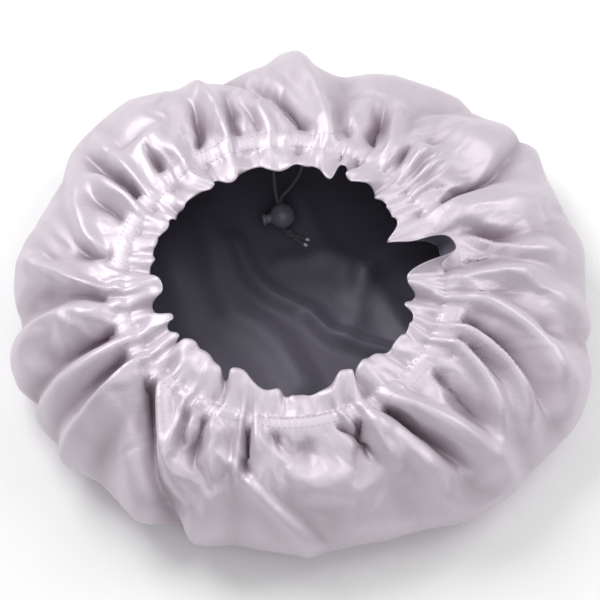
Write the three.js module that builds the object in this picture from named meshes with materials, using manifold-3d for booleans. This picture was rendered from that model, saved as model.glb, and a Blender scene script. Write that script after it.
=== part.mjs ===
// Satin bonnet with a drawcord, lying on its crown with the gathered opening up.
//
// Two layers of cloth, an outer shell and a lining, share one gather line. Outside that line a
// channel holds the cord, inside it the two layers go on together as a ruffle. The outer layer is
// one solid from the gather line to the floor and one for its part of the ruffle. Two cord ends come
// out of holes in the lining, pass through a ball cord lock and end in a knot.
// Units are millimetres, +Z is up, and the crown rests on the plane z = 0.

import * as THREE from "three";
import { mergeVertices } from "three/addons/utils/BufferGeometryUtils.js";
import Module from "manifold-3d";

// Crown
const HALF_WIDTH = 179;
const CHANNEL_HEIGHT = 80;
const BULGE_HEIGHT = 38;
const FLOOR_SHARE = 0.6;
const FOLD_HEIGHT = 7;
const FOLD_FADE = 0.16;
const FOLD_GROWTH_CHANNELS = 2.5;
const RIM_CALM = 0.35;
const RIM_CALM_START = 0.6;
const SIDE_FADE_END = 0.7;
const PLEAT_COUNT = 36;
const PLEAT_HEIGHT = 1.1;
const PLEAT_FADE_CHANNELS = 3;

// Opening
const GATHER_RADIUS = 96.5;
const OPENING_SHIFT_X = -11;
const OPENING_SHIFT_Y = -21.5;
const CHANNEL_WIDTH = 9;
const GATHER_GAP = 0.45;
const RUFFLE_WIDTH = 17;
const RUFFLE_TILT = 3;

// Cloth
const SHELL_WALL = 1.5;
const LINING_WALL = 1.2;
const CLEARANCE = 0.3;
const STEEPEST_WALL_FACTOR = 1.6;
const LINING_SLACK = 3;

// Cord and cord lock
const CORD_DIAMETER = 2;
const CORD_HOLE_DIAMETER = 4;
const CORD_HOLE_DEPTH = 8;
const KNOT_DIAMETER = 5;
const TAIL_STRAIGHT = 6;
const TIP_LENGTH = 2.6;
const BALL_DIAMETER = 17;
const PLUNGER_DIAMETER = 6.4;
const PLUNGER_END_WALL = 1.2;
const BUTTON_TRAVEL = 3;
const CAP_DIAMETER = 8.6;
const CAP_THICKNESS = 2.4;
const CAP_EDGE_SHARE = 0.7;
const CAP_TOP_SHARE = 0.84;
const LOCK_LEAD_IN = 2;
const LOCK_LEAD_OUT = 0.5;
const LOCK_MIDDLE = 3;

// Mesh density
const COLUMNS = 104;
const FINEST_FOLD = 1.3;
const CORD_SIDES = 8;
const RING_STEPS = 32;
const STRAND_STEPS = 12;
const TAIL_STEPS = 2;
const BALL_SIDES = 16;
const BALL_RINGS = 10;
const BORE_SIDES = 10;
const KNOT_SIDES = 8;
const KNOT_RINGS = 6;
const SLOPE_STEP = 1.5;
const SEAM_TOLERANCE = 1e-4;

// Outline seen from above: share of HALF_WIDTH at each angle in degrees.
const OUTLINE = [
  { angle: 0, share: 1.0 },
  { angle: 10, share: 1.015 },
  { angle: 26, share: 0.99 },
  { angle: 38, share: 1.035 },
  { angle: 47, share: 0.99 },
  { angle: 60, share: 0.995 },
  { angle: 70, share: 0.992 },
  { angle: 82, share: 0.955 },
  { angle: 91, share: 1.0 },
  { angle: 98, share: 0.995 },
  { angle: 107, share: 0.972 },
  { angle: 118, share: 0.99 },
  { angle: 130, share: 1.018 },
  { angle: 140, share: 1.03 },
  { angle: 150, share: 1.0 },
  { angle: 160, share: 0.998 },
  { angle: 170, share: 1.012 },
  { angle: 184, share: 1.024 },
  { angle: 191, share: 1.018 },
  { angle: 200, share: 1.053 },
  { angle: 212, share: 1.058 },
  { angle: 222, share: 1.028 },
  { angle: 232, share: 1.028 },
  { angle: 241, share: 1.04 },
  { angle: 250, share: 1.0 },
  { angle: 258, share: 0.987 },
  { angle: 273, share: 1.013 },
  { angle: 285, share: 0.984 },
  { angle: 293, share: 0.99 },
  { angle: 302, share: 1.048 },
  { angle: 316, share: 1.046 },
  { angle: 328, share: 1.055 },
  { angle: 340, share: 1.048 },
  { angle: 350, share: 1.005 },
];

// Folds of the crown. gather, middle and rim are a fold's angles in degrees at the gather line, half
// way and at the widest line. from and to are shares of that way, before and after the half widths in
// degrees, and height a share of FOLD_HEIGHT, below zero for a valley.
const CROWN_FOLDS = [
  { gather: -6, middle: -11, rim: -14, from: 0, to: 0.35, before: 3, after: 3, height: -0.5 },
  { gather: -3, middle: -1, rim: 0, from: 0, to: 0.6, before: 4, after: 4, height: 0.6 },
  { gather: 2, middle: -3, rim: -9, from: 0.45, to: 1, before: 3, after: 5, height: 0.4 },
  { gather: 5, middle: 3, rim: 2, from: 0, to: 0.3, before: 4, after: 4, height: -0.6 },
  { gather: 19, middle: 6.5, rim: 6, from: 0.1, to: 0.8, before: 3, after: 5, height: 0.7 },
  { gather: 18, middle: 9.5, rim: 5, from: 0.03, to: 0.5, before: 4, after: 4, height: -0.8 },
  { gather: 24.5, middle: 20, rim: 20, from: 0, to: 0.9, before: 9, after: 9, height: 0.9 },
  { gather: 28, middle: 29, rim: 30, from: 0, to: 0.6, before: 3, after: 3, height: -1 },
  { gather: 20, middle: 28, rim: 38, from: 0.6, to: 1, before: 4, after: 4, height: -0.7 },
  { gather: 36, middle: 38, rim: 38, from: 0, to: 0.3, before: 3, after: 3, height: 0.4 },
  { gather: 47, middle: 44, rim: 43, from: 0.1, to: 1, before: 12, after: 12, height: 0.7 },
  { gather: 49, middle: 51, rim: 52, from: 0, to: 0.3, before: 3, after: 3, height: -0.6 },
  { gather: 52, middle: 61, rim: 68, from: 0, to: 0.6, before: 5, after: 3, height: 0.8 },
  { gather: 59, middle: 64.5, rim: 68, from: 0, to: 0.55, before: 3, after: 5, height: -0.9 },
  { gather: 67, middle: 75, rim: 80, from: 0.05, to: 0.9, before: 6, after: 6, height: -0.5 },
  { gather: 73, middle: 84, rim: 93, from: 0, to: 1, before: 4, after: 6, height: 0.9 },
  { gather: 80, middle: 96, rim: 111, from: 0, to: 0.95, before: 5, after: 4, height: -1.1 },
  { gather: 92, middle: 103, rim: 110, from: 0, to: 0.45, before: 3, after: 3, height: 0.5 },
  { gather: 106, middle: 109, rim: 112, from: 0, to: 0.55, before: 3, after: 3, height: -0.6 },
  { gather: 111, middle: 113.5, rim: 117, from: 0, to: 0.85, before: 3, after: 4, height: 0.9 },
  { gather: 122, middle: 118.5, rim: 118, from: 0, to: 0.55, before: 3, after: 3, height: -0.7 },
  { gather: 129, middle: 129, rim: 129, from: 0, to: 0.3, before: 3, after: 3, height: 0.6 },
  { gather: 136, middle: 136, rim: 136, from: 0, to: 0.33, before: 4, after: 4, height: -0.9 },
  { gather: 131, middle: 131, rim: 131, from: 0.3, to: 1, before: 14, after: 14, height: 0.5 },
  { gather: 146, middle: 144, rim: 143, from: 0.1, to: 0.9, before: 3, after: 4, height: 0.5 },
  { gather: 150, middle: 148, rim: 147.5, from: 0, to: 0.75, before: 4, after: 3, height: -1 },
  { gather: 153, middle: 152, rim: 152, from: 0, to: 0.6, before: 3, after: 4, height: 0.5 },
  { gather: 160, middle: 157, rim: 155, from: 0.05, to: 0.5, before: 6, after: 6, height: -0.5 },
  { gather: 184, middle: 164, rim: 147, from: 0.15, to: 1, before: 6, after: 6, height: 0.6 },
  { gather: 177, middle: 172, rim: 168, from: 0.06, to: 0.4, before: 4, after: 4, height: -0.9 },
  { gather: 191, middle: 183, rim: 175, from: 0.12, to: 0.9, before: 4, after: 3, height: 1 },
  { gather: 189, middle: 190, rim: 190, from: 0, to: 0.25, before: 3, after: 3, height: -0.5 },
  { gather: 196, middle: 195, rim: 194, from: 0.1, to: 1, before: 6, after: 6, height: 0.7 },
  { gather: 201, middle: 204, rim: 207, from: 0, to: 1, before: 5, after: 3, height: -0.9 },
  { gather: 206, middle: 209, rim: 211, from: 0, to: 0.8, before: 3, after: 3, height: 0.5 },
  { gather: 210, middle: 213, rim: 216, from: 0.1, to: 0.9, before: 3, after: 3, height: -0.7 },
  { gather: 214.5, middle: 218.5, rim: 220, from: 0, to: 1, before: 3, after: 7, height: 0.9 },
  { gather: 219.5, middle: 233, rim: 245, from: 0, to: 1, before: 7, after: 3, height: -1.2 },
  { gather: 223, middle: 238, rim: 249, from: 0, to: 1, before: 3, after: 6, height: 0.9 },
  { gather: 244, middle: 246, rim: 247, from: 0.05, to: 0.55, before: 3, after: 3, height: -0.6 },
  { gather: 247, middle: 250, rim: 252, from: 0.1, to: 0.95, before: 4, after: 4, height: 0.6 },
  { gather: 257.5, middle: 257, rim: 256, from: 0, to: 0.6, before: 3, after: 3, height: -0.7 },
  { gather: 240, middle: 254, rim: 271, from: 0.55, to: 1, before: 3, after: 3, height: 0.5 },
  { gather: 261, middle: 261.5, rim: 262, from: 0, to: 0.4, before: 3, after: 3, height: 0.6 },
  { gather: 266, middle: 267, rim: 268, from: 0, to: 0.3, before: 3, after: 3, height: -0.5 },
  { gather: 284.5, middle: 290, rim: 292, from: 0, to: 0.4, before: 3, after: 3, height: -0.7 },
  { gather: 294.5, middle: 288.5, rim: 284, from: 0, to: 0.42, before: 4, after: 3, height: -1 },
  { gather: 298, middle: 294, rim: 291, from: 0.05, to: 0.65, before: 4, after: 4, height: 0.7 },
  { gather: 299, middle: 304, rim: 306, from: 0, to: 0.75, before: 3, after: 3, height: -1.1 },
  { gather: 304, middle: 310, rim: 312, from: 0, to: 0.95, before: 5, after: 5, height: 0.9 },
  { gather: 325, middle: 316.5, rim: 314, from: 0, to: 0.75, before: 4, after: 4, height: -0.7 },
  { gather: 336, middle: 323.5, rim: 309, from: 0, to: 0.75, before: 3, after: 5, height: 0.8 },
  { gather: 339, middle: 328, rim: 316, from: 0.05, to: 0.5, before: 3, after: 3, height: -0.6 },
  { gather: 341, middle: 331.5, rim: 318, from: 0, to: 0.8, before: 3, after: 3, height: 0.8 },
  { gather: 344, middle: 335.5, rim: 323, from: 0, to: 0.85, before: 3, after: 5, height: -1.2 },
  { gather: 352, middle: 344, rim: 329, from: 0.1, to: 0.95, before: 4, after: 6, height: 0.8 },
];

// Round dents and puffs of the crown. way is the share of the way from gather line to widest line,
// halfAngle in degrees and halfWay the half sizes, and height a share of FOLD_HEIGHT.
const CROWN_DENTS = [
  { angle: 46, way: 0.42, halfAngle: 6, halfWay: 0.16, height: -0.9 },
  { angle: 134, way: 0.42, halfAngle: 9, halfWay: 0.12, height: 0.4 },
  { angle: 187, way: 0.72, halfAngle: 7, halfWay: 0.28, height: -0.8 },
  { angle: 201, way: 0.75, halfAngle: 5, halfWay: 0.22, height: -0.5 },
  { angle: 274, way: 0.3, halfAngle: 9, halfWay: 0.15, height: -0.6 },
  { angle: 276, way: 0.62, halfAngle: 11, halfWay: 0.25, height: 0.6 },
  { angle: 300, way: 0.62, halfAngle: 5, halfWay: 0.25, height: 0.4 },
  { angle: 331, way: 0.85, halfAngle: 6, halfWay: 0.15, height: -0.6 },
  { angle: 346, way: 0.75, halfAngle: 5, halfWay: 0.15, height: -0.4 },
];

// Flutes of the ruffle. rise and reach are shares of RUFFLE_WIDTH at the free edge.
const RUFFLE_FLUTES = [
  { angle: 5, before: 6, after: 5, rise: 0.35, reach: 0.35 },
  { angle: 18, before: 5, after: 5, rise: 0.4, reach: 0.2 },
  { angle: 29, before: 4, after: 4, rise: 0.3, reach: 0 },
  { angle: 38, before: 5, after: 4, rise: 0.35, reach: 0.1 },
  { angle: 51, before: 7, after: 5, rise: 0.55, reach: 0.35 },
  { angle: 63, before: 4, after: 4, rise: 0.5, reach: -0.2 },
  { angle: 74, before: 5, after: 5, rise: 0.35, reach: 0.1 },
  { angle: 83, before: 4, after: 4, rise: 0.2, reach: 0.1 },
  { angle: 93, before: 6, after: 6, rise: 0.3, reach: -0.2 },
  { angle: 107, before: 7, after: 5, rise: 0.3, reach: 0.2 },
  { angle: 119, before: 4, after: 4, rise: 0.45, reach: 0 },
  { angle: 128, before: 5, after: 5, rise: 0.4, reach: 0.4 },
  { angle: 141, before: 5, after: 6, rise: 0.3, reach: 0 },
  { angle: 153, before: 4, after: 4, rise: 0.3, reach: 0.1 },
  { angle: 162, before: 4, after: 4, rise: 0.25, reach: -0.1 },
  { angle: 171, before: 4, after: 4, rise: 0.25, reach: 0 },
  { angle: 183, before: 5, after: 6, rise: 0.5, reach: 0.4 },
  { angle: 200, before: 6, after: 5, rise: 0.35, reach: 0.4 },
  { angle: 211, before: 4, after: 4, rise: 0.4, reach: 0.2 },
  { angle: 222, before: 5, after: 5, rise: 0.25, reach: 0.2 },
  { angle: 234, before: 8, after: 8, rise: 0.35, reach: 0.3 },
  { angle: 250, before: 6, after: 6, rise: 0.45, reach: 0.35 },
  { angle: 260, before: 3, after: 3, rise: 0.3, reach: 0 },
  { angle: 267, before: 3, after: 3, rise: 0.3, reach: 0.1 },
  { angle: 276, before: 5, after: 5, rise: 0.2, reach: 0 },
  { angle: 288, before: 8, after: 6, rise: 0.35, reach: 0.1 },
  { angle: 299, before: 4, after: 4, rise: 0.35, reach: 0.4 },
  { angle: 309, before: 6, after: 7, rise: 0.4, reach: 0.3 },
  { angle: 321, before: 4, after: 4, rise: 0.3, reach: 0.2 },
  { angle: 329, before: 4, after: 3, rise: 0.3, reach: 0.1 },
  { angle: 336, before: 3, after: 3, rise: 0.3, reach: 0.1 },
  { angle: 343, before: 3, after: 3, rise: 0.25, reach: 0 },
  { angle: 352, before: 6, after: 5, rise: 0.35, reach: 0.3 },
];

// Soft folds of the lining where it lies on the floor. start and end are shares of HALF_WIDTH from the
// middle, halfWidth is a share of HALF_WIDTH and height a share of FOLD_HEIGHT.
const FLOOR_FOLDS = [
  { startX: -0.3, startY: 0.22, endX: -0.1, endY: -0.18, halfWidth: 0.16, height: 0.5 },
  { startX: -0.1, startY: -0.18, endX: 0.28, endY: -0.38, halfWidth: 0.16, height: 0.5 },
  { startX: 0.12, startY: 0.16, endX: 0.42, endY: 0.1, halfWidth: 0.18, height: 0.6 },
];

const toRadians = THREE.MathUtils.degToRad;
const smoothstep = THREE.MathUtils.smoothstep;

// Share of the way from gather line to widest line at which the channel ends.
const channelEnd = CHANNEL_WIDTH / (HALF_WIDTH - GATHER_RADIUS);

// Signed difference of two angles in degrees, between -180 and 180.
function angleBetween(angle, reference) {
  return THREE.MathUtils.euclideanModulo(angle - reference + 180, 360) - 180;
}

// Round bump that is 1 in the middle and runs out to 0 at a distance of 1.
function bump(distance) {
  return Math.abs(distance) < 1 ? 0.5 + 0.5 * Math.cos(Math.PI * distance) : 0;
}

// Fold profile over an angle offset in degrees, never narrower than the columns can carry.
function twoSided(offset, before, after) {
  const finest = (FINEST_FOLD * 360) / COLUMNS;
  return bump(offset / Math.max(offset < 0 ? before : after, finest));
}

// Outline share at an angle, by a closed cubic through the rows of OUTLINE.
function outlineShare(angle) {
  const turn = THREE.MathUtils.euclideanModulo(angle, 360);
  const count = OUTLINE.length;
  let index = OUTLINE.findLastIndex((row) => row.angle <= turn);
  if (index < 0) index = count - 1;
  const rowAt = (step) => {
    const place = index + step;
    const row = OUTLINE[(place + count) % count];
    const laps = Math.floor(place / count);
    return { angle: row.angle + 360 * laps, share: row.share };
  };
  const [earlier, start, end, later] = [-1, 0, 1, 2].map(rowAt);
  const span = end.angle - start.angle;
  const t = (turn - start.angle) / span;
  const startSlope = ((end.share - earlier.share) / (end.angle - earlier.angle)) * span;
  const endSlope = ((later.share - start.share) / (later.angle - start.angle)) * span;
  return (
    (2 * t ** 3 - 3 * t ** 2 + 1) * start.share +
    (t ** 3 - 2 * t ** 2 + t) * startSlope +
    (3 * t ** 2 - 2 * t ** 3) * end.share +
    (t ** 3 - t ** 2) * endSlope
  );
}

// Point and offset direction of the smooth form under the folds, at an angle and a place of a row.
function ruffleBase(angle, way) {
  const radius = GATHER_RADIUS - RUFFLE_WIDTH * (1 - way) * (1 + ruffleReach(angle));
  const turn = toRadians(angle);
  const point = new THREE.Vector3(
    OPENING_SHIFT_X + radius * Math.cos(turn),
    OPENING_SHIFT_Y + radius * Math.sin(turn),
    CHANNEL_HEIGHT + RUFFLE_TILT * (1 - way),
  );
  return { point, normal: new THREE.Vector3(0, 0, 1) };
}

function crownBase(angle, way) {
  const turn = toRadians(angle);
  const halfWidth = HALF_WIDTH * outlineShare(angle);
  const height = CHANNEL_HEIGHT - BULGE_HEIGHT;
  const rise = Math.sqrt(1 - way * way);
  const radius = GATHER_RADIUS + (halfWidth - GATHER_RADIUS) * way;
  const point = new THREE.Vector3(
    (1 - way) * OPENING_SHIFT_X + radius * Math.cos(turn),
    (1 - way) * OPENING_SHIFT_Y + radius * Math.sin(turn),
    BULGE_HEIGHT + height * rise,
  );
  const outward = way / (halfWidth - GATHER_RADIUS);
  const normal = new THREE.Vector3(outward * Math.cos(turn), outward * Math.sin(turn), rise / height);
  return { point, normal: normal.normalize() };
}

function sideBase(angle, way) {
  const turn = toRadians(angle);
  const halfWidth = HALF_WIDTH * outlineShare(angle);
  const down = (way * Math.PI) / 2;
  const radius = halfWidth * (FLOOR_SHARE + (1 - FLOOR_SHARE) * Math.cos(down));
  const point = new THREE.Vector3(
    radius * Math.cos(turn),
    radius * Math.sin(turn),
    BULGE_HEIGHT * (1 - Math.sin(down)),
  );
  const outward = Math.cos(down) / (halfWidth * (1 - FLOOR_SHARE));
  const normal = new THREE.Vector3(
    outward * Math.cos(turn),
    outward * Math.sin(turn),
    -Math.sin(down) / BULGE_HEIGHT,
  );
  return { point, normal: normal.normalize() };
}

function floorBase(angle, way) {
  const turn = toRadians(angle);
  const radius = HALF_WIDTH * outlineShare(angle) * FLOOR_SHARE * (1 - way);
  const point = new THREE.Vector3(radius * Math.cos(turn), radius * Math.sin(turn), 0);
  return { point, normal: new THREE.Vector3(0, 0, -1) };
}

// Heights of the shell's outer face over the smooth form.
function ruffleReach(angle) {
  return RUFFLE_FLUTES.reduce(
    (sum, flute) => sum + flute.reach * twoSided(angleBetween(angle, flute.angle), flute.before, flute.after),
    0,
  );
}

function gatherPleat(angle) {
  return PLEAT_HEIGHT * Math.cos(toRadians(PLEAT_COUNT * angle));
}

function ruffleHeight(angle, way) {
  const flutes = RUFFLE_FLUTES.reduce(
    (sum, flute) => sum + flute.rise * twoSided(angleBetween(angle, flute.angle), flute.before, flute.after),
    0,
  );
  return RUFFLE_WIDTH * flutes * (1 - way) + gatherPleat(angle) * way;
}

function foldAngle(fold, way) {
  const first = (1 - way) * (1 - 2 * way) * fold.gather;
  const second = 4 * way * (1 - way) * fold.middle;
  const third = way * (2 * way - 1) * fold.rim;
  return first + second + third;
}

// Share of a fold's height at a place of the way, faded in and out over its ends.
function foldLength(fold, way) {
  const starts = fold.from > 0 ? smoothstep(way, fold.from - FOLD_FADE, fold.from + FOLD_FADE) : 1;
  const ends = fold.to < 1 ? smoothstep(way, fold.to - FOLD_FADE, fold.to + FOLD_FADE) : 0;
  return starts * (1 - ends) * smoothstep(way, 0, FOLD_GROWTH_CHANNELS * channelEnd);
}

function crownHeight(angle, way) {
  let height = 0;
  for (const fold of CROWN_FOLDS) {
    const offset = angleBetween(angle, foldAngle(fold, way));
    const across = twoSided(offset, fold.before, fold.after);
    height += FOLD_HEIGHT * fold.height * foldLength(fold, way) * across;
  }
  for (const dent of CROWN_DENTS) {
    const across = bump(angleBetween(angle, dent.angle) / dent.halfAngle);
    height += FOLD_HEIGHT * dent.height * across * bump((way - dent.way) / dent.halfWay);
  }
  const rimCalm = 1 - RIM_CALM * smoothstep(way, RIM_CALM_START, 1);
  const pleatEnd = PLEAT_FADE_CHANNELS * channelEnd;
  return height * rimCalm + gatherPleat(angle) * (1 - smoothstep(way, 0, pleatEnd));
}

function sideHeight(angle, way) {
  return crownHeight(angle, 1) * (1 - smoothstep(way, 0, SIDE_FADE_END));
}

function floorFoldHeight(point) {
  let height = 0;
  for (const fold of FLOOR_FOLDS) {
    const start = new THREE.Vector3(fold.startX, fold.startY, 0).multiplyScalar(HALF_WIDTH);
    const end = new THREE.Vector3(fold.endX, fold.endY, 0).multiplyScalar(HALF_WIDTH);
    const flat = new THREE.Vector3(point.x, point.y, 0);
    const nearest = new THREE.Line3(start, end).closestPointToPoint(flat, true, new THREE.Vector3());
    height = Math.max(height, fold.height * bump(nearest.distanceTo(flat) / (fold.halfWidth * HALF_WIDTH)));
  }
  return FOLD_HEIGHT * height;
}

// A ring of a cloth skin: its number of columns, and base and height functions at a place of its zone.
const rowOf = (zone, base, height, way, columns) => ({ zone, base, height, way, columns });
const ruffleRow = (way) => rowOf("ruffle", ruffleBase, ruffleHeight, way, COLUMNS);
const crownRow = (way, columns) => rowOf("crown", crownBase, crownHeight, way, columns);
const sideRow = (way) => rowOf("side", sideBase, sideHeight, way, COLUMNS / 2);
const floorRow = (way) => rowOf("floor", floorBase, () => 0, way, COLUMNS / 4);

const RUFFLE_ROWS = [ruffleRow(0), ruffleRow(0.5), crownRow(0, COLUMNS)];
const gatherEnd = GATHER_GAP / (HALF_WIDTH - GATHER_RADIUS);
const SHELL_ROWS = [
  ...[gatherEnd, channelEnd / 2, channelEnd].map((way) => crownRow(way, COLUMNS)),
  ...[0.22, 0.36, 0.52, 0.71, 0.89].map((way) => crownRow(way, COLUMNS)),
  crownRow(1, COLUMNS / 2),
  ...[0.35, 0.65, 0.88].map(sideRow),
  ...[0, 0.4, 0.75].map(floorRow),
];
const LINING_ROWS = [
  ...RUFFLE_ROWS,
  ...[channelEnd / 2, channelEnd].map((way) => crownRow(way, COLUMNS)),
  ...[0.22, 0.42, 0.66, 0.87, 1].map((way) => crownRow(way, COLUMNS / 2)),
  ...[0.35, 0.65, 0.88].map(sideRow),
  ...[0, 0.4, 0.75].map(floorRow),
];

// Wall factor along the offset direction, so that a sloping wall keeps its thickness.
function slopeFactor(row, angle) {
  const [before, after] = [angle - SLOPE_STEP, angle + SLOPE_STEP];
  const low = row.base(before, row.way).point;
  const high = row.base(after, row.way).point;
  const rise = row.height(after, row.way) - row.height(before, row.way);
  return Math.min(Math.hypot(1, rise / low.distanceTo(high)), STEEPEST_WALL_FACTOR);
}

// Half the height that the channel opens at its middle, for the cord and its clearance.
const CHANNEL_HALF_OPENING = CORD_DIAMETER / 2 + 2 * CLEARANCE;
const CORD_LEVEL = -(SHELL_WALL + CHANNEL_HALF_OPENING - PLEAT_HEIGHT);

// Depth of each face of the two layers under the shell's outer face, along the offset direction.
const FACE_DEPTHS = {
  shellOuter: 0,
  shellInner: SHELL_WALL,
  liningOuter: SHELL_WALL + CLEARANCE,
  liningInner: SHELL_WALL + CLEARANCE + LINING_WALL,
};

function faceHeight(face, row, angle) {
  const own = row.height(angle, row.way);
  const factor = slopeFactor(row, angle);
  const depth = FACE_DEPTHS[face];
  const isLining = face.startsWith("lining");
  if (row.zone === "crown" && row.way === channelEnd / 2) {
    const pleat = Math.abs(gatherPleat(angle));
    const wall = isLining ? depth - FACE_DEPTHS.liningOuter : depth - FACE_DEPTHS.shellInner;
    const opening = CHANNEL_HALF_OPENING + pleat;
    return isLining ? CORD_LEVEL - opening - wall * factor : CORD_LEVEL + opening - wall * factor;
  }
  if (row.zone === "crown" && isLining && row.way > channelEnd) {
    const half = 180 / row.columns;
    const around = [-2, -1, 0, 1, 2].map((step) => row.height(angle + step * half, row.way));
    return Math.min(...around) - LINING_SLACK - depth;
  }
  if (row.zone === "side" && isLining) {
    const slack = LINING_SLACK * (1 - smoothstep(row.way, 0.3, 0.9));
    return Math.min(own, 0) - slack - depth;
  }
  return own - depth * factor;
}

function ringOf(face, row) {
  const points = [];
  for (let column = 0; column < row.columns; column += 1) {
    const angle = (360 * column) / row.columns;
    const { point, normal } = row.base(angle, row.way);
    point.addScaledVector(normal, faceHeight(face, row, angle));
    if (face === "liningInner" && row.zone === "floor") point.z += floorFoldHeight(point);
    points.push(point);
  }
  return points;
}

// Triangles between two rings, the inner one first. The outer ring may have half as many columns.
function joinRings(first, second, triangles) {
  const halved = first.length === 2 * second.length;
  for (let column = 0; column < second.length; column += 1) {
    const next = (column + 1) % second.length;
    if (halved) {
      const [a, b, c] = [first[2 * column], first[2 * column + 1], first[(2 * column + 2) % first.length]];
      triangles.push([a, second[column], b], [b, second[column], second[next]], [b, second[next], c]);
    } else {
      triangles.push([first[column], second[column], second[next]]);
      triangles.push([first[column], second[next], first[next]]);
    }
  }
}

// Skin over all rows of a layer, closed in the middle where the last row lies on the floor.
function skinTriangles(face, rows, triangles) {
  const rings = rows.map((row) => ringOf(face, row));
  for (let index = 1; index < rings.length; index += 1) joinRings(rings[index - 1], rings[index], triangles);
  const last = rings.at(-1);
  if (rows.at(-1).zone !== "floor") return rings;
  const middle = new THREE.Vector3();
  for (const point of last) middle.addScaledVector(point, 1 / last.length);
  last.forEach((point, column) => triangles.push([point, middle, last[(column + 1) % last.length]]));
  return rings;
}

// Closed wall between an outer and an inner face, joined along the open edges.
function clothGeometry(outerFace, innerFace, rows) {
  const outside = [];
  const inside = [];
  const outerRings = skinTriangles(outerFace, rows, outside);
  const innerRings = skinTriangles(innerFace, rows, inside);
  const edge = [];
  joinRings(innerRings[0], outerRings[0], edge);
  if (rows.at(-1).zone !== "floor") joinRings(outerRings.at(-1), innerRings.at(-1), edge);
  const triangles = [...outside, ...inside.map(([a, b, c]) => [a, c, b]), ...edge];
  const points = triangles.flat();
  const positions = new Float32Array(points.flatMap((point) => point.toArray()));
  const geometry = new THREE.BufferGeometry();
  geometry.setAttribute("position", new THREE.BufferAttribute(positions, 3));
  return mergeVertices(geometry, SEAM_TOLERANCE);
}

// Solids that are cut or joined.
const wasm = await Module();
wasm.setup();

function bareGeometry(geometry) {
  const bare = geometry.clone();
  for (const name of Object.keys(bare.attributes)) {
    if (name !== "position") bare.deleteAttribute(name);
  }
  return mergeVertices(bare, SEAM_TOLERANCE);
}

function toSolid(geometry) {
  const bare = bareGeometry(geometry);
  const vertProperties = new Float32Array(bare.attributes.position.array);
  const triVerts = new Uint32Array(bare.index.array);
  return new wasm.Manifold(new wasm.Mesh({ numProp: 3, vertProperties, triVerts }));
}

function fromSolid(solid) {
  const mesh = solid.getMesh();
  const geometry = new THREE.BufferGeometry();
  geometry.setAttribute("position", new THREE.BufferAttribute(new Float32Array(mesh.vertProperties), 3));
  geometry.setIndex(new THREE.BufferAttribute(new Uint32Array(mesh.triVerts), 1));
  return geometry;
}

// Cylinder whose axis runs from one point to another.
function rodGeometry(start, end, diameter, sides) {
  const along = end.clone().sub(start);
  const geometry = new THREE.CylinderGeometry(diameter / 2, diameter / 2, along.length(), sides);
  const upright = new THREE.Vector3(0, 1, 0);
  geometry.applyQuaternion(new THREE.Quaternion().setFromUnitVectors(upright, along.normalize()));
  const middle = start.clone().lerp(end, 0.5);
  return geometry.translate(middle.x, middle.y, middle.z);
}

// Closed tube along a path.
function tubeGeometry(path, diameter, steps) {
  const corners = Array.from({ length: CORD_SIDES }, (_, side) => {
    const turn = (2 * Math.PI * side) / CORD_SIDES;
    return new THREE.Vector2(Math.cos(turn), Math.sin(turn)).multiplyScalar(diameter / 2);
  });
  const options = { steps, extrudePath: path, bevelEnabled: false };
  return bareGeometry(new THREE.ExtrudeGeometry(new THREE.Shape(corners), options));
}

// Cord lock: a ball with a bore for the cords and a blind hole for the plunger.
const cordPitch = CORD_DIAMETER + CLEARANCE;
const ballRadius = BALL_DIAMETER / 2;
const plungerHole = PLUNGER_DIAMETER + 2 * CLEARANCE;
const cordBore = cordPitch + CORD_DIAMETER + 3 * CLEARANCE;
const cordHalfSpan = (cordPitch + CORD_DIAMETER) / 2 + CLEARANCE;
const holeMouth = Math.sqrt(ballRadius ** 2 - (plungerHole / 2) ** 2);
const plungerEnd = -cordHalfSpan - PLUNGER_END_WALL;
const holeEnd = plungerEnd - BUTTON_TRAVEL - CLEARANCE;
const capUnderside = holeMouth + BUTTON_TRAVEL + CLEARANCE;

const liningFloor = SHELL_WALL + CLEARANCE + LINING_WALL;
const ballCentre = new THREE.Vector3(-14, 68.6, liningFloor + CLEARANCE + ballRadius);
const buttonAxis = new THREE.Vector3(-0.975, -0.2, -0.1).normalize();
const boreLean = new THREE.Vector3(0, 0.72, 0.69);
const boreAxis = boreLean.addScaledVector(buttonAxis, -boreLean.dot(buttonAxis)).normalize();

function onButtonAxis(distance) {
  return ballCentre.clone().addScaledVector(buttonAxis, distance);
}

function onBoreAxis(distance, shift) {
  return ballCentre.clone().addScaledVector(boreAxis, distance).addScaledVector(buttonAxis, shift);
}

function ballGeometry() {
  const sphere = new THREE.SphereGeometry(ballRadius, BALL_SIDES, BALL_RINGS);
  sphere.translate(ballCentre.x, ballCentre.y, ballCentre.z);
  const hole = rodGeometry(onButtonAxis(holeEnd), onButtonAxis(BALL_DIAMETER), plungerHole, BALL_SIDES);
  const bore = rodGeometry(onBoreAxis(-BALL_DIAMETER, 0), onBoreAxis(BALL_DIAMETER, 0), cordBore, BORE_SIDES);
  return fromSolid(toSolid(sphere).subtract(toSolid(hole)).subtract(toSolid(bore)));
}

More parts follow.
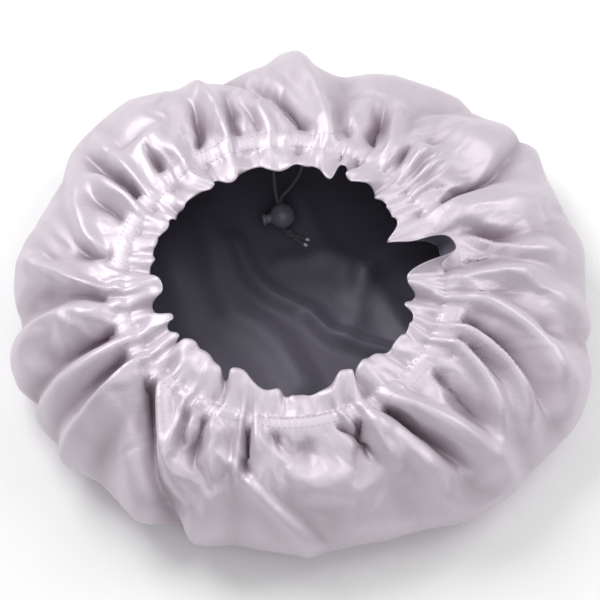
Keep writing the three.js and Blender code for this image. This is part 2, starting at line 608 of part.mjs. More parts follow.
// Push button: a plunger with a cross slot for the cords and their travel, and a flanged cap.
function buttonGeometry() {
  const profile = [
    new THREE.Vector2(0, plungerEnd),
    new THREE.Vector2(PLUNGER_DIAMETER / 2, plungerEnd),
    new THREE.Vector2(PLUNGER_DIAMETER / 2, capUnderside),
    new THREE.Vector2(CAP_DIAMETER / 2, capUnderside),
    new THREE.Vector2(CAP_DIAMETER / 2, capUnderside + CAP_EDGE_SHARE * CAP_THICKNESS),
    new THREE.Vector2((CAP_TOP_SHARE * CAP_DIAMETER) / 2, capUnderside + CAP_THICKNESS),
    new THREE.Vector2(0, capUnderside + CAP_THICKNESS),
  ];
  const slotLength = 2 * cordHalfSpan + BUTTON_TRAVEL;
  const slotWidth = CORD_DIAMETER + 2 * CLEARANCE;
  const slot = new THREE.BoxGeometry(slotWidth, slotLength, BALL_DIAMETER);
  slot.translate(0, slotLength / 2 - cordHalfSpan, 0);
  const button = fromSolid(toSolid(new THREE.LatheGeometry(profile, BALL_SIDES)).subtract(toSolid(slot)));
  const acrossAxis = new THREE.Vector3().crossVectors(buttonAxis, boreAxis);
  const placing = new THREE.Matrix4().makeBasis(acrossAxis, buttonAxis, boreAxis).setPosition(ballCentre);
  return button.applyMatrix4(placing);
}

// Cords. The ring lies in the channel and stops over the two holes.
const EXIT_ANGLES = { left: 95, right: 84 };

function ringPoint(angle, below) {
  return crownBase(angle, channelEnd / 2).point.setZ(CHANNEL_HEIGHT + CORD_LEVEL - below);
}

class RingPath extends THREE.Curve {
  getPoint(share, target = new THREE.Vector3()) {
    const start = EXIT_ANGLES.left - 1;
    const end = EXIT_ANGLES.right + 361;
    return target.copy(ringPoint(start + (end - start) * share, 0));
  }
}

function holedLiningGeometry() {
  let solid = toSolid(clothGeometry("liningOuter", "liningInner", LINING_ROWS));
  for (const angle of Object.values(EXIT_ANGLES)) {
    const top = ringPoint(angle, CLEARANCE);
    const bottom = ringPoint(angle, CORD_HOLE_DEPTH);
    solid = solid.subtract(toSolid(rodGeometry(bottom, top, CORD_HOLE_DIAMETER, CORD_SIDES)));
  }
  return fromSolid(solid);
}

// Free cord ends. The middle points of each are chosen by eye, the rest follow the hole and the lock.
const STRAND_ROUTES = {
  left: [
    new THREE.Vector3(-19.6, 78.9, 64),
    new THREE.Vector3(-19.2, 78.3, 46),
    new THREE.Vector3(-18.6, 77.4, 31),
  ],
  right: [
    new THREE.Vector3(-0.6, 78.9, 64),
    new THREE.Vector3(-1.8, 78.5, 48),
    new THREE.Vector3(-8.4, 77.2, 32),
  ],
};
const knotCentre = new THREE.Vector3(-10, 58.6, liningFloor + CLEARANCE + KNOT_DIAMETER / 2);
const TAIL_ENDS = { left: new THREE.Vector3(0.2, 51.2, 0), right: new THREE.Vector3(1.2, 55, 0) };

function strandGeometry(side) {
  const start = ringPoint(EXIT_ANGLES[side], CORD_DIAMETER / 2 + CLEARANCE);
  const shift = (side === "left" ? 1 : -1) * (cordPitch / 2);
  const stations = [ballRadius + LOCK_LEAD_IN, LOCK_MIDDLE, -LOCK_MIDDLE, -ballRadius - LOCK_LEAD_OUT];
  const throughLock = stations.map((distance) => onBoreAxis(distance, shift));
  const fromKnot = throughLock.at(-1).clone().sub(knotCentre);
  fromKnot.setLength(KNOT_DIAMETER / 2 + 2 * CLEARANCE);
  const end = knotCentre.clone().add(fromKnot).addScaledVector(buttonAxis, shift / 2);
  const points = [start, ...STRAND_ROUTES[side], ...throughLock, end];
  return tubeGeometry(new THREE.CatmullRomCurve3(points, false, "centripetal"), CORD_DIAMETER, STRAND_STEPS);
}

function tailEnd(side) {
  const height = liningFloor + CLEARANCE + CORD_DIAMETER / 2;
  return TAIL_ENDS[side].clone().setZ(height);
}

function tailDirection(side) {
  return tailEnd(side).sub(knotCentre).setZ(0).normalize();
}

function knotGeometry() {
  const lump = new THREE.SphereGeometry(KNOT_DIAMETER / 2, KNOT_SIDES, KNOT_RINGS);
  lump.translate(knotCentre.x, knotCentre.y, knotCentre.z);
  let solid = toSolid(lump);
  for (const side of Object.keys(TAIL_ENDS)) {
    const end = tailEnd(side);
    const bend = end.clone().addScaledVector(tailDirection(side), -TAIL_STRAIGHT);
    const path = new THREE.CatmullRomCurve3([knotCentre, bend, end]);
    solid = solid.add(toSolid(tubeGeometry(path, CORD_DIAMETER, TAIL_STEPS)));
  }
  return fromSolid(solid);
}

function tipGeometry(side) {
  const along = tailDirection(side);
  const start = tailEnd(side).addScaledVector(along, CLEARANCE);
  const end = start.clone().addScaledVector(along, TIP_LENGTH);
  return bareGeometry(rodGeometry(start, end, CORD_DIAMETER, CORD_SIDES));
}

// Materials
const shellSatin = new THREE.MeshStandardMaterial({ color: 0xc9bfc9, roughness: 0.42, metalness: 0 });
const liningSatin = new THREE.MeshStandardMaterial({ color: 0x2c2a33, roughness: 0.5, metalness: 0 });
const blackCord = new THREE.MeshStandardMaterial({ color: 0x17171b, roughness: 0.75, metalness: 0 });
const whiteTip = new THREE.MeshStandardMaterial({ color: 0xe9e7e4, roughness: 0.5, metalness: 0 });
const blackPlastic = new THREE.MeshStandardMaterial({ color: 0x1d1d21, roughness: 0.45, metalness: 0 });

function namedMesh(name, geometry, material) {
  const mesh = new THREE.Mesh(geometry, material);
  mesh.name = name;
  geometry.computeVertexNormals();
  return mesh;
}

const shell = namedMesh("outer_shell", clothGeometry("shellOuter", "shellInner", SHELL_ROWS), shellSatin);
const bonnet = new THREE.Group();
bonnet.add(
  shell,
  namedMesh("outer_ruffle", clothGeometry("shellOuter", "shellInner", RUFFLE_ROWS), shellSatin),
  namedMesh("lining", holedLiningGeometry(), liningSatin),
  namedMesh("drawcord_ring", tubeGeometry(new RingPath(), CORD_DIAMETER, RING_STEPS), blackCord),
  namedMesh("cord_left", strandGeometry("left"), blackCord),
  namedMesh("cord_right", strandGeometry("right"), blackCord),
  namedMesh("cord_knot", knotGeometry(), blackCord),
  namedMesh("cord_tip_left", tipGeometry("left"), whiteTip),
  namedMesh("cord_tip_right", tipGeometry("right"), whiteTip),
  namedMesh("toggle_ball", ballGeometry(), blackPlastic),
  namedMesh("toggle_button", buttonGeometry(), blackPlastic),
);

// The origin is under the middle of the shell's box.
const middle = new THREE.Box3().setFromObject(shell).getCenter(new THREE.Vector3());
bonnet.position.set(-middle.x, -middle.y, 0);

export default bonnet;
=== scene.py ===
"""Satin bonnet: the looks of its cloth, cords and cord lock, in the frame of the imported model.

Every piece is a surface worked out on a grid of two parameters. Angles are in degrees seen from above,
lengths are millimetres inside the functions and metres in the meshes.
"""

import bpy
import numpy as np
from bpy.props import FloatProperty, FloatVectorProperty, IntProperty, PointerProperty
from bpy.types import Operator, Panel, PropertyGroup
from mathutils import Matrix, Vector


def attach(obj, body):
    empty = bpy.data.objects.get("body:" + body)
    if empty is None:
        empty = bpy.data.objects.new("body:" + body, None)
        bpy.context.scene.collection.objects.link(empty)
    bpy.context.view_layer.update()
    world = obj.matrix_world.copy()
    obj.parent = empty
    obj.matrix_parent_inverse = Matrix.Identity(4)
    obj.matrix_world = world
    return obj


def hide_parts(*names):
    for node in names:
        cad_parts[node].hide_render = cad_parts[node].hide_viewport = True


bl_info = {
    "name": "Satin bonnet",
    "version": (1, 0, 0),
    "blender": (4, 5, 0),
    "location": "View3D > Sidebar > Bonnet",
    "description": "Makes a gathered satin bonnet with its drawcord and cord lock",
    "category": "Object",
}

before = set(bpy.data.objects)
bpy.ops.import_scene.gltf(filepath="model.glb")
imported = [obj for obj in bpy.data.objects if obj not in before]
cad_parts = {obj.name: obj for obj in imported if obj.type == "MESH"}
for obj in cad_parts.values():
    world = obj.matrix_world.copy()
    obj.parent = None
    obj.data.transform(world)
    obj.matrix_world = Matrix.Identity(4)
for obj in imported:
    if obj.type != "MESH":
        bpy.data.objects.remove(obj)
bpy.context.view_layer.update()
MM = 0.001

# The smooth form under the folds, as in the part's source, in millimetres.
HALF_WIDTH = 179.0
CHANNEL_HEIGHT = 80.0
BULGE_HEIGHT = 38.0
FLOOR_SHARE = 0.6
GATHER_RADIUS = 96.5
CHANNEL_WIDTH = 9.0
RUFFLE_WIDTH = 17.0
RUFFLE_TILT = 3.0
OPENING_SHIFT = (-11.0, -21.5)
FRAME_SHIFT = np.array([1.503, 1.769, 0.0])
CHANNEL_END = CHANNEL_WIDTH / (HALF_WIDTH - GATHER_RADIUS)
FOLD_FADE = 0.16

# Outline seen from above: angle, share of HALF_WIDTH.
OUTLINE = [
    (0, 1.0), (10, 1.015), (26, 0.99), (38, 1.035), (47, 0.99), (60, 0.995), (70, 0.992), (82, 0.955),
    (91, 1.0), (98, 0.995), (107, 0.972), (118, 0.99), (130, 1.018), (140, 1.03), (150, 1.0),
    (160, 0.998), (170, 1.012), (184, 1.024), (191, 1.018), (200, 1.053), (212, 1.058), (222, 1.028),
    (232, 1.028), (241, 1.04), (250, 1.0), (258, 0.987), (273, 1.013), (285, 0.984), (293, 0.99),
    (302, 1.048), (316, 1.046), (328, 1.055), (340, 1.048), (350, 1.005),
]

# Folds of the crown: angle at the gather line, half way and at the widest line, from, to (shares of
# that way), half width before and after in degrees, height (share of the fold height, < 0 a valley).
CROWN_FOLDS = [
    (-6, -11, -14, 0, 0.35, 3, 3, -0.5),
    (-3, -1, 0, 0, 0.6, 4, 4, 0.6),
    (2, -3, -9, 0.45, 1, 3, 5, 0.4),
    (5, 3, 2, 0, 0.3, 4, 4, -0.6),
    (19, 6.5, 6, 0.1, 0.8, 3, 5, 0.7),
    (18, 9.5, 5, 0.03, 0.5, 4, 4, -0.8),
    (24.5, 20, 20, 0, 0.9, 9, 9, 0.9),
    (28, 29, 30, 0, 0.6, 3, 3, -1),
    (20, 28, 38, 0.6, 1, 4, 4, -0.7),
    (36, 38, 38, 0, 0.3, 3, 3, 0.4),
    (38, 38, 38, 0, 0.28, 1.6, 1.6, -0.4),
    (40, 40.5, 41, 0, 0.3, 2, 2, 0.45),
    (42.5, 42.5, 42.5, 0, 0.3, 1.6, 1.6, -0.45),
    (45, 45.5, 46, 0, 0.3, 2, 2, 0.45),
    (47, 44, 43, 0.1, 1, 12, 12, 0.7),
    (49, 51, 52, 0, 0.3, 3, 3, -0.6),
    (52, 61, 68, 0, 0.6, 5, 3, 0.8),
    (59, 64.5, 68, 0, 0.55, 3, 5, -0.9),
    (67, 75, 80, 0.05, 0.9, 6, 6, -0.5),
    (73, 84, 93, 0, 1, 4, 6, 0.9),
    (80, 96, 111, 0, 0.95, 5, 4, -1.1),
    (92, 103, 110, 0, 0.45, 3, 3, 0.5),
    (97, 105, 108, 0, 0.45, 2, 2, -0.4),
    (104, 101, 100, 0.35, 0.55, 2, 2, -0.3),
    (106, 109, 112, 0, 0.55, 3, 3, -0.6),
    (111, 113.5, 117, 0, 0.85, 3, 4, 0.9),
    (122, 118.5, 118, 0, 0.55, 3, 3, -0.7),
    (129, 129, 129, 0, 0.3, 3, 3, 0.6),
    (136, 136, 136, 0, 0.33, 4, 4, -0.9),
    (131, 131, 131, 0.3, 1, 14, 14, 0.5),
    (146, 144, 143, 0.1, 0.9, 3, 4, 0.5),
    (150, 148, 147.5, 0, 0.75, 4, 3, -1),
    (153, 152, 152, 0, 0.6, 3, 4, 0.5),
    (160, 157, 155, 0.05, 0.5, 6, 6, -0.5),
    (184, 164, 147, 0.15, 1, 6, 6, 0.6),
    (177, 172, 168, 0.06, 0.4, 4, 4, -0.9),
    (191, 183, 175, 0.12, 0.9, 4, 3, 1),
    (189, 190, 190, 0, 0.25, 3, 3, -0.5),
    (197, 197, 197, 0, 0.15, 2, 2, -0.6),
    (196, 195, 194, 0.1, 1, 6, 6, 0.7),
    (201, 204, 207, 0, 1, 5, 3, -0.9),
    (206, 209, 211, 0, 0.8, 3, 3, 0.5),
    (210, 213, 216, 0.1, 0.9, 3, 3, -0.7),
    (214.5, 218.5, 220, 0, 1, 3, 7, 0.9),
    (218, 218, 218, 0.03, 0.2, 2.5, 2.5, -0.4),
    (219.5, 233, 245, 0, 1, 7, 3, -1.2),
    (223, 238, 249, 0, 1, 3, 6, 0.9),
    (237, 242, 246, 0.02, 0.6, 2, 2, -0.4),
    (234.5, 240, 244.5, 0.02, 0.55, 1.5, 1.5, 0.3),
    (244, 246, 247, 0.05, 0.55, 3, 3, -0.6),
    (247, 250, 252, 0.1, 0.95, 4, 4, 0.6),
    (255.5, 256, 258, 0, 0.65, 1.5, 2, 0.5),
    (258, 258, 258, 0, 0.6, 2, 2, -0.8),
    (240, 254, 271, 0.55, 1, 3, 3, 0.5),
    (261, 261.5, 262, 0, 0.4, 3, 3, 0.6),
    (266, 267, 268, 0, 0.3, 3, 3, -0.5),
    (284.5, 290, 292, 0, 0.4, 3, 3, -0.7),
    (288, 290.5, 292, 0, 0.35, 2, 2, 0.4),
    (294.5, 288.5, 284, 0, 0.42, 4, 3, -1),
    (298, 294, 291, 0.05, 0.65, 4, 4, 0.7),
    (297, 298.5, 299.5, 0.3, 0.85, 3, 3, 0.5),
    (299, 304, 306, 0, 0.75, 3, 3, -1.1),
    (304, 310, 312, 0, 0.95, 5, 5, 0.9),
    (325, 316.5, 314, 0, 0.75, 4, 4, -0.7),
    (336, 323.5, 309, 0, 0.75, 3, 5, 0.8),
    (339, 328, 316, 0.05, 0.5, 3, 3, -0.6),
    (341, 331.5, 318, 0, 0.8, 3, 3, 0.8),
    (344, 335.5, 323, 0, 0.85, 3, 5, -1.2),
    (352, 344, 329, 0.1, 0.95, 4, 6, 0.8),
]

# Round dents and puffs of the crown: angle, way, half angle, half way, height.
CROWN_DENTS = [
    (46, 0.42, 6, 0.16, -0.6), (134, 0.42, 9, 0.12, 0.4), (187, 0.72, 7, 0.28, -0.6),
    (201, 0.75, 5, 0.22, -0.5), (274, 0.3, 9, 0.15, -0.35), (276, 0.62, 11, 0.25, 0.6),
    (300, 0.62, 5, 0.25, 0.4), (331, 0.85, 6, 0.15, -0.6), (346, 0.75, 5, 0.15, -0.4),
    (178, 0.75, 5, 0.18, -0.4), (307.5, 0.85, 4, 0.12, 0.3),
]

# Lobes of the ruffle, each from its first valley to the next row's: angle of the valley, place of the top
# between its valleys, rise and reach of the free edge there (shares of RUFFLE_WIDTH), how far the top
# leans towards higher angles (mm), and depth of the dent in its middle (share of the profile).
RUFFLE_LOBES = [
    (3, 0.5, 0.2, 0.0, 0, 0), (16, 0.45, 0.45, 0.85, -3, 0), (29, 0.5, 0.4, 0.3, 0, 0),
    (34, 0.5, 0.35, 0.25, 0, 0), (39, 0.5, 0.4, 0.3, 2, 0), (45.6, 0.5, 0.95, 0.45, 3, 0.25),
    (62, 0.5, 0.8, 0.1, -2, 0), (68.4, 0.3, 0.5, 0.5, -5, 0), (77.4, 0.5, 0.35, 0.05, 0, 0),
    (85.5, 0.4, 0.45, 0.25, 0, 0.1), (104, 0.6, 0.4, 0.35, 3, 0.15), (122, 0.6, 0.75, 0.5, -3, 0.1),
    (137.5, 0.5, 0.4, 0.1, 3, 0), (145, 0.5, 0.35, 0.15, 2, 0), (151, 0.5, 0.35, 0.1, 0, 0),
    (160, 0.5, 0.35, 0.0, 0, 0), (170, 0.5, 0.4, 0.1, 0, 0), (177, 0.6, 0.8, 0.4, 4, 0.2),
    (195, 0.65, 0.65, 0.4, 3, 0.1), (209, 0.5, 0.5, 0.25, 3, 0), (217.6, 0.4, 0.7, 0.45, -2, 0.25),
    (247.8, 0.35, 0.7, 0.4, -5, 0.2), (262.6, 0.4, 0.4, 0.05, 3, 0), (269.8, 0.5, 0.25, -0.1, 0, 0),
    (280, 0.72, 0.55, 0.2, 5, 0.35), (299, 0.5, 0.6, 0.2, -2, 0.25), (318.7, 0.4, 0.45, 0.0, 0, 0),
    (330.3, 0.5, 0.35, -0.05, 2, 0), (335, 0.5, 0.35, -0.1, 0, 0), (340, 0.45, 0.5, 0.35, -2, 0),
    (348, 0.5, 0.85, 0.5, -4, 0.15),
]
VALLEY_REACH = -0.25

# Where the ruffle is turned outwards: angle, half width of the turned part, width of its ends, turn.
RUFFLE_TURNS = [(8, 3.5, 6, 95)]

# Soft ridges of the lining on the floor: half width (share of HALF_WIDTH), height, and the places
# x, y (shares of HALF_WIDTH) that the ridge runs through.
FLOOR_FOLDS = [
    (0.06, 6.0, [(-0.25, 0.3), (-0.2, 0.16), (-0.12, 0.07), (0.02, -0.01), (0.1, -0.1), (0.2, -0.14),
                 (0.4, -0.2)]),
    (0.09, 4.5, [(-0.38, 0.45), (-0.34, 0.27), (-0.32, 0.13), (-0.26, 0.0), (-0.15, -0.07),
                 (-0.09, -0.13), (0.0, -0.3)]),
    (0.07, 3.0, [(-0.08, 0.21), (0.02, 0.23), (0.14, 0.23), (0.22, 0.15), (0.19, 0.08)]),
    (0.08, 4.5, [(0.22, 0.15), (0.3, 0.03), (0.36, -0.09), (0.45, -0.2)]),
    (0.06, 2.5, [(0.22, 0.15), (0.2, 0.0), (0.16, -0.1)]),
    (0.08, 3.5, [(-0.02, 0.5), (0.04, 0.36), (0.08, 0.26)]),
    (0.12, 4.0, [(-0.52, 0.3), (-0.46, 0.1), (-0.4, -0.1), (-0.25, -0.3)]),
    (0.09, 3.0, [(0.22, 0.15), (0.34, 0.3), (0.4, 0.45)]),
]

# Grid of the cloth: columns, rows of each zone, the way at which the floor's rows end short of its
# middle, and the way of the crown after which the lining has only every other row.
COLUMNS = 600
RUFFLE_ROWS = 12
CROWN_ROWS = 38
SIDE_ROWS = 14
FLOOR_ROWS = 5
LINING_FLOOR_ROWS = 24
FLOOR_END = 0.96
LINING_FINE_END = 0.25
ANGLES = np.arange(COLUMNS) * 360.0 / COLUMNS

# Fine relief: numbers of small creases and of crossing panels, and passes that smooth the ruffle.
CREASES = 190
PANELS = 9
RUFFLE_SOFT_PASSES = 8

# Layers, in millimetres: least height of the shell over the cord, height of the lining under the cord,
# its distance under the shell's lowest folds, how far it hangs below that, and its gap and soft waves
# over the floor.
CORD_ROOM = 0.8
UNDER_CORD = -3.6
FOLD_CLEARANCE = 2.8
HANG = 2.2
FLOOR_GAP = 1.2
FLOOR_WAVE = 0.9

# Draping: how firmly the channel is held, the crown's growth at the gathers and the way over which it
# fades, the side's growth, and light satin as Blender's cloth settings. The cloth feels a small share of
# gravity, over a ground with half its side and its skin in metres.
CHANNEL_HOLD = 0.9
CROWN_GROWTH = 0.75
GROWTH_FADE = 0.28
SIDE_GROWTH = 0.1
SATIN_CLOTH = {
    "quality": 5,
    "mass": 0.2,
    "air_damping": 2.0,
    "tension_stiffness": 25.0,
    "compression_stiffness": 25.0,
    "shear_stiffness": 8.0,
    "tension_damping": 8.0,
    "compression_damping": 8.0,
    "shear_damping": 8.0,
    "bending_damping": 0.8,
    "pin_stiffness": 1.0,
    "vertex_group_mass": "hold",
    "vertex_group_shrink": "growth",
    "shrink_min": 0.0,
}
DRAPE_GRAVITY = 0.03
GROUND_HALF = 0.4
GROUND_SKIN = 0.0005


# Small helpers.


def smoothstep(values, start, end):
    """0 before start, 1 after end, and 3t^2 - 2t^3 between."""
    share = np.clip((values - start) / (end - start), 0.0, 1.0)
    return share * share * (3.0 - 2.0 * share)


def turn_to(angle, reference):
    """Signed difference of two angles in degrees, from -180 to 180."""
    return np.mod(angle - reference + 180.0, 360.0) - 180.0


def bump(distance):
    """Round bump: half of 1 + cos(pi d) inside a distance of 1."""
    return 0.5 + 0.5 * np.cos(np.pi * np.clip(np.abs(distance), 0.0, 1.0))


def crest(offset, before, after, sharpness):
    """Profile of a fold: a smooth bump mixed with a pointed one, (1 - |d|)^1.6, by its sharpness."""
    distance = np.abs(np.where(offset < 0, offset / before, offset / after))
    inside = np.clip(1.0 - distance, 0.0, 1.0)
    return (1.0 - sharpness) * inside * inside * (3.0 - 2.0 * inside) + sharpness * inside ** 1.6


def unit(vectors):
    """Vectors divided by their lengths."""
    return vectors / np.maximum(np.linalg.norm(vectors, axis=-1, keepdims=True), 1e-12)


def around(angle, radius, height):
    """Points at an angle seen from above, a distance from the axis and a height."""
    turn = np.radians(angle)
    return np.stack(np.broadcast_arrays(radius * np.cos(turn), radius * np.sin(turn), height), -1)


def circle(sides):
    """Cosines and sines of evenly spaced angles round a circle, as columns."""
    angle = np.arange(sides)[:, None] * 2.0 * np.pi / sides
    return np.cos(angle), np.sin(angle)


def blurred(values, step):
    """Half of each value of a closed-round grid, and a quarter of those a step of columns away."""
    return 0.5 * values + 0.25 * (np.roll(values, step, 1) + np.roll(values, -step, 1))


def arc_lengths(path):
    """Length along a path of points up to each of them."""
    return np.concatenate([[0.0], np.cumsum(np.linalg.norm(np.diff(path, axis=0), axis=1))])


def at_lengths(lengths, arc, values):
    """Points or directions, given at some arc lengths of a path, at other lengths along it."""
    return np.stack([np.interp(lengths, arc, values[:, axis]) for axis in range(3)], -1)


def wavy(angle, rng, lowest, highest, terms):
    """Sum of cosines round the opening with whole numbers of waves and random phases, about 1 high."""
    waves = rng.integers(lowest, highest + 1, terms)
    phases = rng.uniform(0.0, 2.0 * np.pi, terms)
    turns = np.radians(angle)[..., None] * waves + phases
    return np.cos(turns).sum(-1) / np.sqrt(terms)


# The smooth form.


def cubic(t, span, start, end, slope_start, slope_end):
    """Cubic from start to end over a span, with a slope at each end, at the share t of the way."""
    return (
        (2 * t**3 - 3 * t**2 + 1) * start
        + (t**3 - 2 * t**2 + t) * span * slope_start
        + (3 * t**2 - 2 * t**3) * end
        + (t**3 - t**2) * span * slope_end
    )


def outline_share(angle):
    """Closed cubic through the rows of OUTLINE, with the slope at each row taken from its neighbours."""
    rows = np.array(OUTLINE, float)
    at = np.concatenate([rows[:, 0] - 360.0, rows[:, 0], rows[:, 0] + 360.0])
    share = np.tile(rows[:, 1], 3)
    slope = np.zeros_like(share)
    slope[1:-1] = (share[2:] - share[:-2]) / (at[2:] - at[:-2])
    turn = np.mod(angle, 360.0)
    index = np.searchsorted(at, turn, side="right") - 1
    span = at[index + 1] - at[index]
    t = (turn - at[index]) / span
    return cubic(t, span, share[index], share[index + 1], slope[index], slope[index + 1])


def crown_base(angle, way):
    """Quarter ellipse from the gather line (way 0) out to the widest line (way 1): point and normal."""
    reach = HALF_WIDTH * outline_share(angle) - GATHER_RADIUS
    height = CHANNEL_HEIGHT - BULGE_HEIGHT
    rise = np.sqrt(np.clip(1.0 - way * way, 0.0, 1.0))
    point = around(angle, GATHER_RADIUS + reach * way, BULGE_HEIGHT + height * rise)
    point[..., 0] += (1.0 - way) * OPENING_SHIFT[0]
    point[..., 1] += (1.0 - way) * OPENING_SHIFT[1]
    return point, unit(around(angle, way / reach, rise / height))


def side_base(angle, way):
    """Quarter ellipse from the widest line down and in to the floor: point and normal."""
    half_width = HALF_WIDTH * outline_share(angle)
    down = way * np.pi / 2.0
    radius = half_width * (FLOOR_SHARE + (1.0 - FLOOR_SHARE) * np.cos(down))
    outward = np.cos(down) / (half_width * (1.0 - FLOOR_SHARE))
    point = around(angle, radius, BULGE_HEIGHT * (1.0 - np.sin(down)))
    return point, unit(around(angle, outward, -np.sin(down) / BULGE_HEIGHT))


def floor_base(angle, way):
    """Flat ring on the floor, from the side's foot (way 0) to the middle (way 1): point and normal."""
    point = around(angle, HALF_WIDTH * outline_share(angle) * FLOOR_SHARE * (1.0 - way), 0.0)
    return point, np.broadcast_to([0.0, 0.0, -1.0], point.shape)


def crown_rows():
    """Ways of the crown's rows, evenly spaced along its arc."""
    dense = np.linspace(0.0, 1.0, 400)
    height = (CHANNEL_HEIGHT - BULGE_HEIGHT) * np.sqrt(1.0 - dense**2)
    steps = np.hypot(np.diff(height), np.diff((HALF_WIDTH - GATHER_RADIUS) * dense))
    arc = np.concatenate([[0.0], np.cumsum(steps)])
    return np.interp(np.linspace(0.0, arc[-1], CROWN_ROWS), arc, dense)


# Folds.


def fold_lines(angle, way, height):
    """Sum of the rows of CROWN_FOLDS, each along a quadratic line through its three angles, fading in
    and out over its ends, plus the rows of CROWN_DENTS."""
    total = np.zeros(np.broadcast(angle, way).shape)
    for gather, middle, rim, start, end, before, after, share in CROWN_FOLDS:
        line = (1 - way) * (1 - 2 * way) * gather + 4 * way * (1 - way) * middle + way * (2 * way - 1) * rim
        fade = smoothstep(way, start - FOLD_FADE, start + FOLD_FADE) if start > 0 else 1.0
        if end < 1:
            fade = fade * (1.0 - smoothstep(way, end - FOLD_FADE, end + FOLD_FADE))
        widening = 1.0 + 0.25 * way
        sharpness = (0.85 if share < 0 else 0.35) * (1.0 - 0.3 * smoothstep(way, 0.25, 0.8))
        profile = crest(turn_to(angle, line), before * widening, after * widening, sharpness)
        total = total + share * fade * profile
    total = total * smoothstep(way, 0.0, 2.2 * CHANNEL_END)
    for at, middle, half_angle, half_way, share in CROWN_DENTS:
        total = total + share * bump(turn_to(angle, at) / half_angle) * bump((way - middle) / half_way)
    return height * total


def creases(angle, way, rng, count):
    """Many short, narrow creases at random places, each a pointed ridge or valley along a slanting line
    with a round fade along its length."""
    total = np.zeros(np.broadcast(angle, way).shape)
    at = rng.uniform(0.0, 360.0, count)
    middle = rng.uniform(0.08, 0.95, count) ** 1.2
    length = rng.uniform(0.1, 0.3, count)
    slant = rng.uniform(-26.0, 26.0, count)
    width = rng.uniform(1.2, 3.2, count)
    size = rng.uniform(0.4, 1.3, count) * rng.choice([-1.0, 1.0], count)
    for index in range(count):
        along = (way - middle[index]) / length[index]
        offset = turn_to(angle, at[index] + slant[index] * (way - middle[index]))
        total = total + size[index] * bump(along) * crest(offset, width[index], width[index], 0.6)
    return total


def swells(point, rng, count):
    """Broad panels with crisp edges that cross the radial folds: for each of a few random directions, the
    absolute value of a sine with a bent phase, up or down, inside patches of a second slow sine."""
    total = np.zeros(point.shape[:-1])
    for _ in range(count):
        across, along, patch = rng.uniform(0.0, 2.0 * np.pi, 3)
        length = rng.uniform(38.0, 95.0)
        place = point[..., 0] * np.cos(across) + point[..., 1] * np.sin(across)
        beside = point[..., 0] * np.cos(along) + point[..., 1] * np.sin(along)
        wave = np.abs(np.sin(np.pi * place / length + patch + 0.7 * np.sin(beside / 31.0 + along)))
        inside = 0.5 + 0.5 * np.sin(beside / 26.0 + patch)
        total = total + rng.choice([-1.0, 1.0]) * (length / 95.0) * (wave - 0.64) * inside**2
    return total


def lobe_sums(angle):
    """Rise and reach of the ruffle at an angle, as shares of RUFFLE_WIDTH, and its lean. Across a lobe u
    runs from 0 to 1 with its top at 1/2, and the profile is (1 - |2u - 1|^2.5)^0.65, broad and round
    between narrow valleys, less a round dent in the middle."""
    lobes = np.array(RUFFLE_LOBES, float)
    turn = np.mod(angle - lobes[0, 0], 360.0)
    bounds = np.append(lobes[:, 0] - lobes[0, 0], 360.0)
    index = np.clip(np.searchsorted(bounds, turn, side="right") - 1, 0, len(lobes) - 1)
    _, top, rise, reach, lean, dent = lobes[index].T
    share = (turn - bounds[index]) / (bounds[index + 1] - bounds[index])
    across = 2.0 * share ** (np.log(0.5) / np.log(top)) - 1.0
    profile = np.clip(1.0 - np.abs(across) ** 2.5, 0.0, 1.0) ** 0.65
    dented = profile * (1.0 - dent * bump((across - 0.1) / 0.45))
    return dented * rise, VALLEY_REACH + profile * (reach - VALLEY_REACH), profile * lean


def gather_height(angle, settings):
    """Height of the cloth along the gather line: a share of the flutes and of the crown's folds there,
    less their mean, and small puckers between the stitches."""
    rng = np.random.default_rng(settings.seed + 1)
    rise, _, _ = lobe_sums(angle)
    folds = fold_lines(angle, np.full_like(angle, FOLD_FADE), 1.0)
    patches = 0.15 + 0.85 * smoothstep(wavy(angle, rng, 5, 11, 3), -0.2, 1.0)
    small = wavy(angle, rng, 84, 118, 4) * patches
    return settings.gather_share * (RUFFLE_WIDTH * (rise - 0.35) + settings.fold_height * folds) + (
        settings.pucker_height * small
    )


def crown_height(angle, way, settings):
    """Height of the shell over the smooth form: main folds and fine creases, which start from the relief
    of the gather line, middle-sized gathers that die away over the first third of the way, and panels."""
    rng = np.random.default_rng(settings.seed)
    main = fold_lines(angle, way, settings.fold_height)
    fine = creases(angle, way, rng, CREASES)
    first = wavy(angle, rng, 34, 50, 3)
    second = wavy(angle, rng, 50, 74, 3)
    gathers = settings.gather_height * (
        first * np.exp(-way / 0.22) + 0.6 * second * np.exp(-way / 0.12)
    ) * smoothstep(way, 0.0, 0.06)
    at_line = gather_height(angle, settings) * (1.0 - smoothstep(way, 0.0, 0.25))
    point, _ = crown_base(angle, way)
    panels = settings.swell_height * swells(point, rng, PANELS) * smoothstep(way, 0.1, 0.4)
    inside_channel = np.clip(way / CHANNEL_END, 0.0, 1.0)
    channel = settings.channel_puff * np.sin(np.pi * inside_channel)
    calm = 1.0 - 0.35 * smoothstep(way, 0.45, 1.0)
    return (main + fine) * calm + gathers + at_line + channel + panels


def sideways(points, normals, height, swing):
    """Moves points along the rows against the slope of their height, so that folds bulge over their
    feet."""
    chord = np.roll(points, -1, 1) - np.roll(points, 1, 1)
    calm = height
    for _ in range(4):
        calm = blurred(calm, 2)
    slope = (np.roll(calm, -1, 1) - np.roll(calm, 1, 1)) / np.maximum(np.linalg.norm(chord, axis=-1), 1e-6)
    flat = unit(chord - normals * (chord * normals).sum(-1, keepdims=True))
    move = -swing * np.tanh(slope)
    return points + move[..., None] * flat


